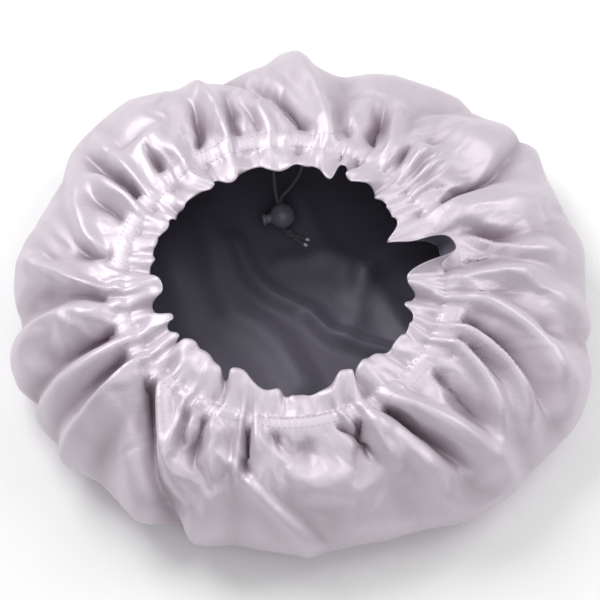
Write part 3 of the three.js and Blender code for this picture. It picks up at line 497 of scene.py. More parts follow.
def ruffle_surface(angle, share, settings):
    """Ruffle from the gather line (share 0) to its free edge (share 1), as base points, facing and
    height. Each column is a straight strip that points inwards and a little up, lifted by its flute.
    Strips of a turned part point up and outwards."""
    rng = np.random.default_rng(settings.seed + 2)
    rise, reach, aside = lobe_sums(angle)
    outward = around(angle, 1.0, 0.0)
    up = np.array([0.0, 0.0, 1.0])
    along = np.cross(up, outward)
    start, _ = crown_base(angle, 0.0)
    length = RUFFLE_WIDTH * (1.0 + reach)
    lean = np.arctan2(RUFFLE_TILT, RUFFLE_WIDTH) + 0.0 * angle
    for at, half, ends, degrees in RUFFLE_TURNS:
        outside = np.abs(turn_to(angle, at))
        lean = lean + np.radians(degrees) * (1.0 - smoothstep(outside, half, half + ends))
    direction = -np.cos(lean)[..., None] * outward + np.sin(lean)[..., None] * up
    facing = np.sin(lean)[..., None] * outward + np.cos(lean)[..., None] * up
    free = RUFFLE_WIDTH * settings.flute_height * (rise - 0.15) + 0.5 * wavy(angle, rng, 24, 40, 3)
    line = gather_height(angle, settings)
    blend = smoothstep(share, 0.0, 1.1)
    height = line * (1.0 - blend) + free * blend
    edge = 0.4 * wavy(angle, rng, 18, 34, 4) * share**2
    moved = start + (share * length + edge)[..., None] * direction + (share**1.5 * aside)[..., None] * along
    return moved, facing, height


def shell_rows(settings):
    """Rows of the shell from the free edge of the ruffle to the middle of the floor, each as its zone
    and place, the points and facings of the smooth form, and the heights over it."""
    for share in np.linspace(1.0, 0.0, RUFFLE_ROWS + 1)[:-1]:
        yield "ruffle", share, *ruffle_surface(ANGLES, np.full(COLUMNS, share), settings)
    for way in crown_rows():
        rim = crown_height(ANGLES, np.full(COLUMNS, way), settings)
        yield "crown", way, *crown_base(ANGLES, way), rim
    for way in np.linspace(0.0, 1.0, SIDE_ROWS + 1)[1:]:
        yield "side", way, *side_base(ANGLES, way), rim * (1.0 - smoothstep(way, 0.0, 0.8))
    for way in np.linspace(0.0, FLOOR_END, FLOOR_ROWS + 1)[1:]:
        yield "floor", way, *floor_base(ANGLES, way), np.zeros(COLUMNS)


def shell_grid(settings):
    """Points of the shell's rows, each row's zone and place, and the points and facings of the smooth
    form under them."""
    zones, ways, *surfaces = zip(*shell_rows(settings))
    places = list(zip(zones, ways))
    bases, facings, heights = [np.array(rows) for rows in surfaces]
    grid = bases + facings * heights[..., None]
    swing = [
        place if zone == "ruffle" else 0.25 + 0.75 * (1.0 - place) if zone == "crown" else 0.0
        for zone, place in places
    ]
    grid = sideways(grid, facings, heights, settings.flute_swing * np.array(swing)[:, None])
    grid[..., 2] = np.maximum(grid[..., 2], 0.0)
    return grid, places, bases, facings


def hold_and_growth(zone, place, settings):
    """How firmly a row stays at its place in the simulation (1 is fixed) and its share of the growth.
    The gather line and the floor are fixed, the channel is held firmly, and the ruffle and the crown are
    nearly free. Growth is most at the gathers and dies away towards the widest line."""
    if zone == "ruffle":
        return settings.ruffle_hold, settings.ruffle_growth * (0.4 + 0.6 * place)
    if zone == "crown":
        if place < CHANNEL_END * 1.02:
            return (1.0 if place == 0.0 else CHANNEL_HOLD), CROWN_GROWTH
        return settings.crown_hold, CROWN_GROWTH * float(np.exp(-(place - CHANNEL_END) / GROWTH_FADE))
    if zone == "side":
        low = max(0.0, (place - 0.6) / 0.4)
        return settings.crown_hold + (1.0 - settings.crown_hold) * low, SIDE_GROWTH
    return 1.0, 0.0


def drape(grid, places, settings):
    """Lets the sheet of a grid buckle as light satin: its springs grow by a share, more at the gathers,
    while the gather line and the floor hold it. Gives the points where they come to rest."""
    rows, columns = grid.shape[:2]
    scene = bpy.context.scene
    sheet = new_object("draping", grid.reshape(-1, 3) * MM, ring_faces(rows, columns).tolist())
    hold = sheet.vertex_groups.new(name="hold")
    growth = sheet.vertex_groups.new(name="growth")
    for row, (zone, place) in enumerate(places):
        indices = list(range(row * columns, (row + 1) * columns))
        firm, share = hold_and_growth(zone, place, settings)
        hold.add(indices, firm, "REPLACE")
        growth.add(indices, share, "REPLACE")
    corners = np.array([(-1, -1, 0), (1, -1, 0), (1, 1, 0), (-1, 1, 0)]) * GROUND_HALF
    corners[:, 2] = -GROUND_SKIN
    ground = new_object("draping_ground", corners, [(0, 1, 2, 3)])
    ground.modifiers.new("collision", "COLLISION")
    ground.collision.thickness_outer = GROUND_SKIN

    cloth = sheet.modifiers.new("cloth", "CLOTH")
    for name, value in SATIN_CLOTH.items():
        setattr(cloth.settings, name, value)
    cloth.settings.bending_stiffness = settings.bending
    cloth.settings.shrink_max = -settings.growth
    cloth.settings.effector_weights.gravity = DRAPE_GRAVITY
    cloth.collision_settings.use_self_collision = False
    cloth.collision_settings.distance_min = MM
    frames = settings.drape_frames + 1
    cloth.point_cache.frame_start = 1
    cloth.point_cache.frame_end = frames
    last_frame = scene.frame_end
    scene.frame_end = frames
    for step in range(1, frames + 1):
        scene.frame_set(step)
    rested = sheet.evaluated_get(bpy.context.evaluated_depsgraph_get()).to_mesh()
    points = np.empty(len(rested.vertices) * 3)
    rested.vertices.foreach_get("co", points)
    scene.frame_set(1)
    scene.frame_end = last_frame
    remove_object(sheet)
    remove_object(ground)
    return points.reshape(grid.shape) / MM


DRAPED = {}


def soft_ruffle(grid, places):
    """Grid with its ruffle smoothed round the opening, more towards the free edge, as the doubled and
    turned edge of the cloth is stiffer than the rest."""
    smooth = grid
    for _ in range(RUFFLE_SOFT_PASSES):
        smooth = blurred(smooth, 1)
    share = np.array([smoothstep(place, 0.0, 0.5) if zone == "ruffle" else 0.0 for zone, place in places])
    return grid + (smooth - grid) * share[:, None, None]


def draped_shell(settings):
    """Shell grid after draping, with each row's zone and place and the heights over the smooth form.
    Over the channel the shell is lifted clear of the cord. It is worked out once for each set of
    sizes."""
    key = tuple(float(getattr(settings, name)) for name in ShellSettings.__annotations__ if name != "colour")
    if key not in DRAPED:
        grid, places, bases, facings = shell_grid(settings)
        grid = drape(grid, places, settings)
        grid = soft_ruffle(grid, places)
        grid[..., 2] = np.maximum(grid[..., 2], 0.0)
        heights = ((grid - bases) * facings).sum(-1)
        nearness = [bump(place / CHANNEL_END - 0.5) if zone == "crown" else 0.0 for zone, place in places]
        room = CORD_ROOM * np.array(nearness)[:, None]
        lift = np.where(room > 0.0, np.maximum(room - heights, 0.0), 0.0)
        DRAPED[key] = (grid + facings * lift[..., None], places, heights + lift)
    return DRAPED[key]


def grid_normals(grid):
    """Normals of a closed-round grid, from the cross product of its two central differences."""
    across = np.roll(grid, -1, 1) - np.roll(grid, 1, 1)
    padded = np.concatenate([grid[:1], grid, grid[-1:]])
    return unit(np.cross(padded[2:] - padded[:-2], across))


def lowest_around(values, rows, columns):
    """Lowest value within that many rows and columns of each place of a closed-round grid."""
    low = values.copy()
    for step in range(1, columns + 1):
        low = np.minimum(low, np.minimum(np.roll(values, step, 1), np.roll(values, -step, 1)))
    out = low.copy()
    for step in range(1, rows + 1):
        out[step:] = np.minimum(out[step:], low[:-step])
        out[:-step] = np.minimum(out[:-step], low[step:])
    return out


def softened(values, passes, columns):
    """Values averaged with their neighbours, that many times, over rows and round the columns."""
    for _ in range(passes):
        values = blurred(values, columns)
        padded = np.concatenate([values[:1], values, values[-1:]])
        values = 0.5 * values + 0.25 * (padded[:-2] + padded[2:])
    return values


def floor_folds(point, lift):
    """Height of the lining's soft ridges over the floor: for each row of FLOOR_FOLDS, a crest across
    the distance to the broken line through its places."""
    total = np.zeros(point.shape[:-1])
    for half, height, places in FLOOR_FOLDS:
        line = np.array(places) * HALF_WIDTH
        nearest = np.full(point.shape[:-1], np.inf)
        for start, end in zip(line[:-1], line[1:]):
            along = end - start
            share = np.clip(((point[..., :2] - start) @ along) / (along @ along), 0.0, 1.0)
            away = point[..., :2] - start - share[..., None] * along
            nearest = np.minimum(nearest, np.linalg.norm(away, axis=-1))
        total = total + height * crest(nearest, half * HALF_WIDTH, half * HALF_WIDTH, 0.3)
    wave = np.sin(point[..., 0] / 23.0 + 0.6 * np.sin(point[..., 1] / 17.0))
    ripple = wave * np.sin(point[..., 1] / 29.0 + 1.0)
    return lift * (total + 0.8 + 0.8 * ripple)


def lining_grid(settings, lining):
    """Points of the lining from the free edge of the ruffle to the middle of the floor. Along the ruffle
    it keeps a small gap under the shell, under the channel it makes room for the cord, and inside the
    bonnet it hangs below the lowest folds of the shell with its own soft folds."""
    shell, places, heights = draped_shell(settings)
    normals = grid_normals(shell)
    rng = np.random.default_rng(lining.seed)
    soft = [wavy(ANGLES, rng, 14, 26, 3), wavy(ANGLES, rng, 22, 40, 3), wavy(ANGLES, rng, 9, 15, 2)]
    crown = [index for index, (zone, _) in enumerate(places) if zone == "crown"]
    low = softened(lowest_around(heights[crown], 2, 8), 3, 3)
    hang = HANG * (1.0 + 0.8 * soft[0] + 0.6 * soft[1])
    waves = FLOOR_WAVE * (1.0 + soft[2])
    rows = [shell[index] - lining.gap * normals[index] for index in range(RUFFLE_ROWS)]
    for step, index in enumerate(crown):
        place = places[index][1]
        if place > LINING_FINE_END and step % 2:
            continue
        point, normal = crown_base(ANGLES, place)
        own = low[step] - FOLD_CLEARANCE - hang * smoothstep(place, 0.1, 0.5)
        sewn = heights[index] - lining.gap
        room = np.minimum(sewn, UNDER_CORD + 0.2 * soft[1])
        inside = smoothstep(place, CHANNEL_END, CHANNEL_END * 2.0)
        near = sewn + (room - sewn) * smoothstep(place, 0.0, CHANNEL_END * 0.4)
        height = near + (np.minimum(own, room) - near) * inside
        rows.append(point + normal * height[:, None])
    for place in np.linspace(0.0, 1.0, SIDE_ROWS + 1)[1:]:
        point, normal = side_base(ANGLES, place)
        fade = 1.0 - smoothstep(place, 0.1, 0.9)
        height = (low[-1] - FOLD_CLEARANCE - hang) * fade - (FLOOR_GAP + waves) * (1.0 - fade)
        height = height - floor_folds(point, lining.floor_lift) * smoothstep(place, 0.5, 1.0)
        rows.append(point + normal * height[:, None])
    for place in np.linspace(0.0, FLOOR_END, LINING_FLOOR_ROWS + 1)[1:]:
        point, normal = floor_base(ANGLES, place)
        calm = 1.0 - smoothstep(place, 0.0, 0.45)
        height = FLOOR_GAP + waves * calm + floor_folds(point, lining.floor_lift)
        rows.append(point - normal * height[:, None])
    return np.array(rows)


# Meshes.


def new_object(name, points, faces):
    """New object in the scene from points in metres and faces."""
    mesh = bpy.data.meshes.new(name)
    mesh.from_pydata(points.tolist(), [], faces)
    mesh.update()
    piece = bpy.data.objects.new(name, mesh)
    bpy.context.scene.collection.objects.link(piece)
    return piece


def remove_object(piece):
    """Removes an object and its mesh."""
    mesh = piece.data
    bpy.data.objects.remove(piece)
    bpy.data.meshes.remove(mesh)


def mesh_piece(name, points, faces, material, body="bonnet"):
    """New smooth piece from points in metres and faces, with its material, riding on a body."""
    piece = new_object(name, points, faces)
    mesh = piece.data
    mesh.polygons.foreach_set("use_smooth", np.ones(len(mesh.polygons), bool))
    mesh.materials.append(material)
    mesh.update()
    if body is not None:
        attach(piece, body)
    return piece


def ring_faces(rows, columns, flip=False):
    """Quads of a grid whose last column joins its first."""
    row = np.arange(rows - 1)[:, None] * columns
    column = np.arange(columns)[None, :]
    after = (column + 1) % columns
    quads = np.stack([row + column, row + columns + column, row + columns + after, row + after], -1)
    quads = quads.reshape(-1, 4)
    return quads[:, ::-1] if flip else quads


def fan_faces(first, columns, pole, flip=False):
    """Triangles from a closed row of a grid, which starts at the point numbered first, to a pole."""
    here = first + np.arange(columns)
    after = first + (np.arange(columns) + 1) % columns
    poles = np.full(columns, pole)
    return np.stack([after, poles, here] if flip else [here, poles, after], -1)


def capped(grid, poles, flip=False):
    """Points and faces of a closed-round grid with a point closing each end."""
    rows, columns = grid.shape[:2]
    quads = ring_faces(rows, columns, flip)
    start = fan_faces(0, columns, rows * columns, not flip)
    end = fan_faces((rows - 1) * columns, columns, rows * columns + 1, flip)
    return np.concatenate([grid.reshape(-1, 3), poles]), quads.tolist() + start.tolist() + end.tolist()


def joined(parts):
    """Points and faces of several meshes as one, from their pairs of points and faces."""
    starts = np.cumsum([0] + [len(points) for points, _ in parts]).tolist()
    faces = [[start + corner for corner in face] for start, (_, own) in zip(starts, parts) for face in own]
    return np.concatenate([points for points, _ in parts]), faces


def set_uv(mesh, name, values):
    """UV map from one pair of numbers for each vertex."""
    layer = mesh.uv_layers.new(name=name)
    index = np.empty(len(mesh.loops), np.int32)
    mesh.loops.foreach_get("vertex_index", index)
    layer.data.foreach_set("uv", values[index].astype(np.float32).ravel())


def set_number(mesh, name, values):
    """Float attribute with one number for each vertex."""
    attribute = mesh.attributes.new(name, "FLOAT", "POINT")
    attribute.data.foreach_set("value", values.astype(np.float32).ravel())


def cloth_piece(name, grid, painted_shade, material, thickness, flip):
    """Sheet of cloth on a closed-round grid, with a middle point closing the floor, and the radius in
    metres of the flat circle that it was cut from. Its map is that circle: the distance of a row from
    the middle along the cloth, turned by the column's angle. Solidify gives the wall."""
    rows, columns = grid.shape[:2]
    middle = grid[-1].mean(0)
    points = np.concatenate([grid.reshape(-1, 3), middle[None]]) + FRAME_SHIFT
    faces = ring_faces(rows, columns, flip).tolist()
    faces += fan_faces((rows - 1) * columns, columns, rows * columns, flip).tolist()
    piece = mesh_piece(name, points * MM, faces, material)
    steps = np.linalg.norm(np.diff(grid, axis=0), axis=2).mean(1)
    inner = np.linalg.norm(grid[-1] - middle, axis=1).mean()
    radius = np.concatenate([np.cumsum(steps[::-1])[::-1], [0.0]]) + inner
    flat = around(ANGLES, radius[:, None] * MM, 0.0)[..., :2].reshape(-1, 2)
    set_uv(piece.data, "flat", np.concatenate([flat, [[0.0, 0.0]]]))
    # The painted shade of the fold hollows, one number for each vertex, is stored for the material.
    set_number(piece.data, "painted_shade", np.concatenate([painted_shade.ravel(), [0.0]]))
    wall = piece.modifiers.new("wall", "SOLIDIFY")
    wall.thickness = thickness * MM
    wall.offset = -1.0
    wall.use_even_offset = False
    return piece, float(radius[0] * MM)


def tube(path, radii, sides):
    """Points of a tube: circles of the given radii across a path, on a frame that is carried along it
    with the least twist."""
    tangent = unit(np.gradient(path, axis=0))
    normal = np.empty_like(path)
    normal[0] = unit(np.cross(tangent[0], [0.3, 0.2, 1.0]))
    for index in range(1, len(path)):
        carried = normal[index - 1] - tangent[index] * (normal[index - 1] @ tangent[index])
        normal[index] = carried / np.linalg.norm(carried)
    side = np.cross(tangent, normal)
    cosine, sine = circle(sides)
    ring = cosine * normal[:, None] + sine * side[:, None]
    return path[:, None] + np.broadcast_to(radii, len(path))[:, None, None] * ring


def tube_mesh(grid):
    """Points and faces of a tube grid with a point closing each end."""
    return capped(grid, [grid[0].mean(0), grid[-1].mean(0)], flip=True)


def along_path(points, count):
    """Smooth path through a few points: a cubic through each pair with slopes from their neighbours,
    over the square root of the chord, then spaced evenly."""
    points = np.array(points, float)
    chord = np.sqrt(np.linalg.norm(np.diff(points, axis=0), axis=1))
    at = np.concatenate([[0.0], np.cumsum(chord)])
    slope = np.gradient(points, at, axis=0)
    dense = np.linspace(0.0, at[-1], 400)
    index = np.clip(np.searchsorted(at, dense, side="right") - 1, 0, len(at) - 2)
    span = (at[index + 1] - at[index])[:, None]
    t = (dense - at[index])[:, None] / span
    curve = cubic(t, span, points[index], points[index + 1], slope[index], slope[index + 1])
    arc = arc_lengths(curve)
    return at_lengths(np.linspace(0.0, arc[-1], count), arc, curve)


# Materials.


def linear(hex_colour, factor=1.0):
    """Linear colour with alpha 1 from an sRGB hex value such as "c8bec8", times a factor."""
    values = [int(hex_colour[index : index + 2], 16) / 255.0 for index in (0, 2, 4)]
    values = [v / 12.92 if v <= 0.04045 else ((v + 0.055) / 1.055) ** 2.4 for v in values]
    return tuple(min(1.0, factor * v) for v in values) + (1.0,)


def add_node(tree, kind, settings=None, links=None):
    """Node of a kind with its settings and links. A setting is the value of a socket, by name or number,
    a property, or the ends of a colour ramp. A link's source is a socket, or a node for its first one."""
    node = tree.nodes.new(kind)
    for name, value in (settings or {}).items():
        if name == "color_ramp":
            for end, (position, colour) in zip(node.color_ramp.elements, value):
                end.position = position
                end.color = colour
        elif isinstance(name, int) or name in node.inputs:
            node.inputs[name].default_value = value
        else:
            setattr(node, name, value)
    for name, source in (links or {}).items():
        socket = source.outputs[0] if isinstance(source, bpy.types.Node) else source
        tree.links.new(socket, node.inputs[name])
    return node


def new_material(name):
    """Empty node material and its tree."""
    material = bpy.data.materials.new(name)
    material.use_nodes = True
    tree = material.node_tree
    tree.nodes.clear()
    return material, tree


def satin(name, light, painted_shade_colour, thread_shade, roughness, metallic, sheen):
    """Polyester satin: long warp floats of filament yarn give a smooth face with a soft, silky gleam
    that is coloured like the yarn, and faint streaks along the warp. Deep fold hollows get painted shade:
    the colour is mixed towards a darker colour there, by a vertex attribute."""
    material, tree = new_material(name)
    flat = add_node(tree, "ShaderNodeUVMap", {"uv_map": "flat"})
    # Warp floats lie 0.1 mm apart, too fine to show, so the streaks are drawn 1.2 mm apart.
    stretched = add_node(tree, "ShaderNodeMapping", {"Scale": (800.0, 40.0, 1.0)}, {"Vector": flat})
    streaks = add_node(tree, "ShaderNodeTexNoise", {"Scale": 1.0, "Detail": 2.0}, {"Vector": stretched})
    # Filament yarn shades a little from place to place, over 30 mm or so.
    shades = add_node(tree, "ShaderNodeTexNoise", {"Scale": 30.0, "Detail": 1.0}, {"Vector": flat})
    # Small soft wrinkles about 7 mm long that handling leaves in light satin.
    wrinkles = add_node(tree, "ShaderNodeTexNoise", {"Scale": 140.0, "Detail": 3.0}, {"Vector": flat})
    # Painted shade: the vertex attribute read here is high in deep fold hollows, and there the colour is
    # mixed towards the darker shade colour.
    painted_shade = add_node(tree, "ShaderNodeAttribute", {"attribute_name": "painted_shade"})
    colour = add_node(
        tree,
        "ShaderNodeMix",
        {"data_type": "RGBA", 6: (*light, 1.0), 7: linear(painted_shade_colour)},
        {"Factor": painted_shade.outputs["Fac"]},
    )
    shade = add_node(
        tree,
        "ShaderNodeValToRGB",
        {"color_ramp": [(0.3, linear(thread_shade)), (0.65, (1.0, 1.0, 1.0, 1.0))]},
        {"Fac": streaks},
    )
    thread = add_node(
        tree,
        "ShaderNodeMix",
        {"data_type": "RGBA", "blend_type": "MULTIPLY", "Factor": 0.1},
        {6: colour.outputs[2], 7: shade},
    )
    rougher = {"To Min": roughness - 0.05, "To Max": roughness + 0.07}
    gloss = add_node(tree, "ShaderNodeMapRange", rougher, {"Value": shades})
    fine = add_node(tree, "ShaderNodeBump", {"Strength": 0.03, "Distance": 0.0004}, {"Height": streaks})
    relief = add_node(
        tree, "ShaderNodeBump", {"Strength": 0.25, "Distance": 0.0012}, {"Height": wrinkles, "Normal": fine}
    )
    cloth = add_node(
        tree,
        "ShaderNodeBsdfPrincipled",
        {"Metallic": metallic, "Sheen Weight": sheen, "Sheen Roughness": 0.4, "IOR": 1.5},
        {"Base Color": thread.outputs[2], "Roughness": gloss, "Normal": relief},
    )
    add_node(tree, "ShaderNodeOutputMaterial", None, {"Surface": cloth})
    return material


def braided_cord(name, colour):
    """Braided polyester round cord: strands 1.1 mm wide cross in both directions round the cord, and
    the yarn is matt with a faint sheen. Its colour is painted darker in the grooves between the strands
    and lighter on each strand's crest: painted shade and a painted highlight."""
    material, tree = new_material(name)
    place = add_node(tree, "ShaderNodeUVMap", {"uv_map": "braid"})
    bands = []
    for slope in (1.0, -1.0):
        turned = add_node(tree, "ShaderNodeMapping", {"Scale": (4.0, 900.0 * slope, 1.0)}, {"Vector": place})
        parts = add_node(tree, "ShaderNodeSeparateXYZ", None, {"Vector": turned})
        total = add_node(tree, "ShaderNodeMath", {"operation": "ADD"}, {0: parts, 1: parts.outputs["Y"]})
        turns = add_node(tree, "ShaderNodeMath", {"operation": "MULTIPLY", 1: 2.0 * np.pi}, {0: total})
        bands.append(add_node(tree, "ShaderNodeMath", {"operation": "SINE"}, {0: turns}))
    higher = add_node(tree, "ShaderNodeMath", {"operation": "MAXIMUM"}, {0: bands[0], 1: bands[1]})
    # Painted shade and painted highlight: the yarn's colour is darkened to 0.4 times in the grooves between
    # the strands and lightened to 1.5 times on their crests.
    ends = [(0.0, linear(colour, 0.4)), (1.0, linear(colour, 1.5))]
    shade = add_node(tree, "ShaderNodeValToRGB", {"color_ramp": ends}, {"Fac": higher})
    relief = add_node(tree, "ShaderNodeBump", {"Strength": 0.6, "Distance": 0.0003}, {"Height": higher})
    yarn = add_node(
        tree,
        "ShaderNodeBsdfPrincipled",
        {"Roughness": 0.7, "Sheen Weight": 0.3, "Sheen Roughness": 0.5, "IOR": 1.5},
        {"Base Color": shade, "Normal": relief},
    )
    add_node(tree, "ShaderNodeOutputMaterial", None, {"Surface": yarn})
    return material


def moulded_plastic(name, colour, roughness, grain):
    """Injection-moulded plastic with a fine spark-eroded grain: a satin gloss that is a little rougher
    in patches where fingers have rubbed it."""
    material, tree = new_material(name)
    place = add_node(tree, "ShaderNodeTexCoord").outputs["Object"]
    # Spark-eroded grain is about 0.1 mm wide, drawn 0.4 mm wide or more to show.
    pits = add_node(tree, "ShaderNodeTexNoise", {"Scale": grain, "Detail": 2.0}, {"Vector": place})
    rub = add_node(tree, "ShaderNodeTexNoise", {"Scale": 180.0, "Detail": 1.0}, {"Vector": place})
    rougher = {"To Min": roughness - 0.08, "To Max": roughness + 0.1}
    gloss = add_node(tree, "ShaderNodeMapRange", rougher, {"Value": rub})
    ends = [(0.0, linear(colour, 0.8)), (1.0, linear(colour, 1.2))]
    shade = add_node(tree, "ShaderNodeValToRGB", {"color_ramp": ends}, {"Fac": rub})
    relief = add_node(tree, "ShaderNodeBump", {"Strength": 0.15, "Distance": 0.0002}, {"Height": pits})
    plastic = add_node(
        tree,
        "ShaderNodeBsdfPrincipled",
        {"IOR": 1.49},
        {"Base Color": shade, "Roughness": gloss, "Normal": relief},
    )
    add_node(tree, "ShaderNodeOutputMaterial", None, {"Surface": plastic})
    return material


def paper_floor(name, colour):
    """Matt white background paper: a faint fibre mottle about 8 mm across."""
    material, tree = new_material(name)
    place = add_node(tree, "ShaderNodeTexCoord").outputs["Object"]
    fibres = add_node(tree, "ShaderNodeTexNoise", {"Scale": 120.0, "Detail": 2.0}, {"Vector": place})
    ends = [(0.0, linear(colour, 0.985)), (1.0, linear(colour))]
    shade = add_node(tree, "ShaderNodeValToRGB", {"color_ramp": ends}, {"Fac": fibres})
    paper = add_node(tree, "ShaderNodeBsdfPrincipled", {"Roughness": 0.9}, {"Base Color": shade})
    add_node(tree, "ShaderNodeOutputMaterial", None, {"Surface": paper})
    return material


# Settings.


def number(name, description, default):
    """Number setting with its name, description and default."""
    return FloatProperty(name=name, description=description, default=default)


class ShellSettings(PropertyGroup):
    """Sizes and colours of the outer layer, in millimetres where no unit is given."""

    fold_height: number("Fold height", "Height of a full crown fold", 11.0)
    gather_share: number("Gather share", "Share of folds at the stitches", 0.45)
    gather_height: number("Gather height", "Height of middle-sized gathers", 1.5)
    swell_height: number("Panel height", "Height of the crossing panels", 3.6)
    pucker_height: number("Pucker height", "Height of small puckers", 0.35)
    channel_puff: number("Channel puff", "Rise of the cord channel", 1.0)
    flute_height: number("Flute height", "Scale of the ruffle's lobes", 1.2)
    flute_swing: number("Flute swing", "How far folds bulge sideways", 3.0)
    growth: number("Growth", "Growth of the cloth in the simulation", 0.28)
    ruffle_growth: number("Ruffle growth", "Ruffle's share of it", 0.3)
    crown_hold: number("Crown hold", "How firmly the crown is held", 0.06)
    ruffle_hold: number("Ruffle hold", "How firmly the ruffle is held", 0.08)
    bending: number("Bending", "Bending stiffness of the satin", 0.14)
    drape_frames: IntProperty(name="Drape frames", description="Frames of the simulation", default=18)
    thickness: number("Thickness", "Cloth thickness", 0.45)
    seed: IntProperty(name="Seed", description="Seed of the small creases and puckers", default=11)
    colour: FloatVectorProperty(
        name="Colour", description="Colour of the satin", subtype="COLOR", default=linear("d7cdd7")[:3]
    )


class LiningSettings(PropertyGroup):
    """Sizes of the inner layer, in millimetres."""

    gap: number("Gap", "Distance to the outer layer in the ruffle", 0.75)
    floor_lift: number("Floor folds", "Scale of the soft floor folds", 1.0)
    thickness: number("Thickness", "Cloth thickness", 0.4)
    seed: IntProperty(name="Seed", description="Seed of the soft folds", default=5)
    colour: FloatVectorProperty(
        name="Colour", description="Colour of the satin", subtype="COLOR", default=linear("5e5a69")[:3]
    )


class CordSettings(PropertyGroup):
    """Sizes of the drawcord, in millimetres."""

    diameter: number("Diameter", "Diameter of the cord", 2.0)
    knot_radius: number("Knot radius", "Outer radius of the knot", 2.9)
    tip_length: number("Tip length", "Length of the sealed ends", 2.6)


class LockSettings(PropertyGroup):
    """Sizes of the cord lock, in millimetres."""

    ball_diameter: number("Ball diameter", "Diameter of the ball", 17.0)
    plunger_diameter: number("Plunger diameter", "Diameter of the neck", 6.4)
    cap_diameter: number("Cap diameter", "Diameter of the flange", 8.6)


class StageSettings(PropertyGroup):
    """Camera and lights."""

    elevation: FloatProperty(
        name="Elevation", description="Camera height angle", subtype="ANGLE", default=float(np.radians(58.0))
    )
    distance: FloatProperty(name="Distance", description="Camera distance", unit="LENGTH", default=1.15)
    floor_size: FloatProperty(name="Floor size", description="Side of the floor", unit="LENGTH", default=5.0)


# Cord lock and cords.

# Places of the cord lock and the cords, repeated from the part's source, in millimetres.
BALL_CENTRE = np.array([-14.0, 68.6, 11.8])
BUTTON_AXIS = unit(np.array([-0.975, -0.2, -0.1]))
BORE_LEAN = np.array([0.0, 0.72, 0.69])
BORE_AXIS = unit(BORE_LEAN - BUTTON_AXIS * (BORE_LEAN @ BUTTON_AXIS))
CORD_PITCH = 2.3
EXIT_ANGLES = {"left": 95.0, "right": 84.0}
EXIT_LEVEL = 76.7
STRAND_ROUTES = {
    "left": [(-19.6, 78.9, 64.0), (-19.2, 78.3, 46.0), (-18.6, 77.4, 31.0)],
    "right": [(-0.6, 78.9, 64.0), (-1.8, 78.5, 48.0), (-8.4, 77.2, 32.0)],
}
LOCK_STATIONS = [10.5, 3.0, -3.0, -9.0]
KNOT_CENTRE = np.array([-10.0, 58.6, 5.8])
KNOT_ENTRY = 3.1
TAIL_ENDS = {"left": np.array([0.2, 51.2, 4.3]), "right": np.array([1.2, 55.0, 4.3])}

# Sizes inside the lock, in millimetres, from the ball's centre along the button's axis. The bore and the
# button's slot are rods with half circles HALF_SPAN to each side.
RIM_WIDTH = 1.1
RIM_HEIGHT = 0.5
HOLE_END = -6.9
HOLE_FIT = 0.3
PLUNGER_END = -3.65
CAP_UNDERSIDE = 11.05
CAP_TOP = 13.45
BORE_HALF_SPAN = 1.45
BORE_RADIUS = 1.45
SLOT_PLACE = 1.35
SLOT_HALF_SPAN = 2.6
SLOT_RADIUS = 1.3

# Points along the cords, and sides of round pieces and of what cuts them.
STRAND_POINTS = 40
TAIL_POINTS = 24
KNOT_POINTS = 72
CORD_SIDES = 12
TIP_SIDES = 20
BALL_SIDES = 56
BUTTON_SIDES = 48
HOLE_SIDES = 40
ROD_SIDES = 32


def strand_path(side, count):
    """Route of a free cord end: down from its hole, through the lock, and up to the knot."""
    start, _ = crown_base(np.array(EXIT_ANGLES[side]), CHANNEL_END / 2.0)
    start[2] = EXIT_LEVEL
    shift = (1.0 if side == "left" else -1.0) * CORD_PITCH / 2.0
    lock = [BALL_CENTRE + BORE_AXIS * station + BUTTON_AXIS * shift for station in LOCK_STATIONS]
    away = unit(lock[-1] - KNOT_CENTRE) * KNOT_ENTRY
    end = KNOT_CENTRE + away + BUTTON_AXIS * shift / 2.0
    points = [start, *[np.array(point) for point in STRAND_ROUTES[side]], *lock, end]
    return along_path(points, count) + FRAME_SHIFT


def turned_surface(profile, sides, centre, axis):
    """Surface of a profile of (distance, radius) rows turned round an axis through a centre, as points
    and faces. Rows on the axis close it."""
    profile = np.array(profile, float)
    first = unit(np.cross(axis, [0.13, 0.2, 1.0]))
    second = np.cross(axis, first)
    cosine, sine = circle(sides)
    ring = cosine * first + sine * second
    along, radius = profile[1:-1].T[..., None, None]
    grid = centre + along * axis + radius * ring[None]
    return capped(grid, [centre + profile[0, 0] * axis, centre + profile[-1, 0] * axis])


def make_active(piece):
    """Selects one object alone and makes it the active one."""
    bpy.ops.object.select_all(action="DESELECT")
    piece.select_set(True)
    bpy.context.view_layer.objects.active = piece


def face_outward(piece):
    """Makes a closed mesh's faces point outwards."""
    make_active(piece)
    bpy.ops.object.mode_set(mode="EDIT")
    bpy.ops.mesh.select_all(action="SELECT")
    bpy.ops.mesh.normals_make_consistent(inside=False)
    bpy.ops.object.mode_set(mode="OBJECT")


def shade_by_angle(piece):
    """Keeps edges sharper than 35 degrees crisp and shades the rest smooth."""
    make_active(piece)
    bpy.ops.object.shade_smooth_by_angle(angle=float(np.radians(35.0)))


def cutter(name, points, faces):
    """Throwaway closed mesh for a cut, with its normals recalculated."""
    cut = new_object(name, points * MM, faces)
    face_outward(cut)
    return cut


def cut_away(piece, cuts):
    """Subtracts closed meshes from a piece, applies that, and removes them."""
    make_active(piece)
    for cut in cuts:
        modifier = piece.modifiers.new("cut", "BOOLEAN")
        modifier.operation = "DIFFERENCE"
        modifier.solver = "EXACT"
        modifier.object = cut
        bpy.ops.object.modifier_apply(modifier=modifier.name)
    for cut in cuts:
        remove_object(cut)


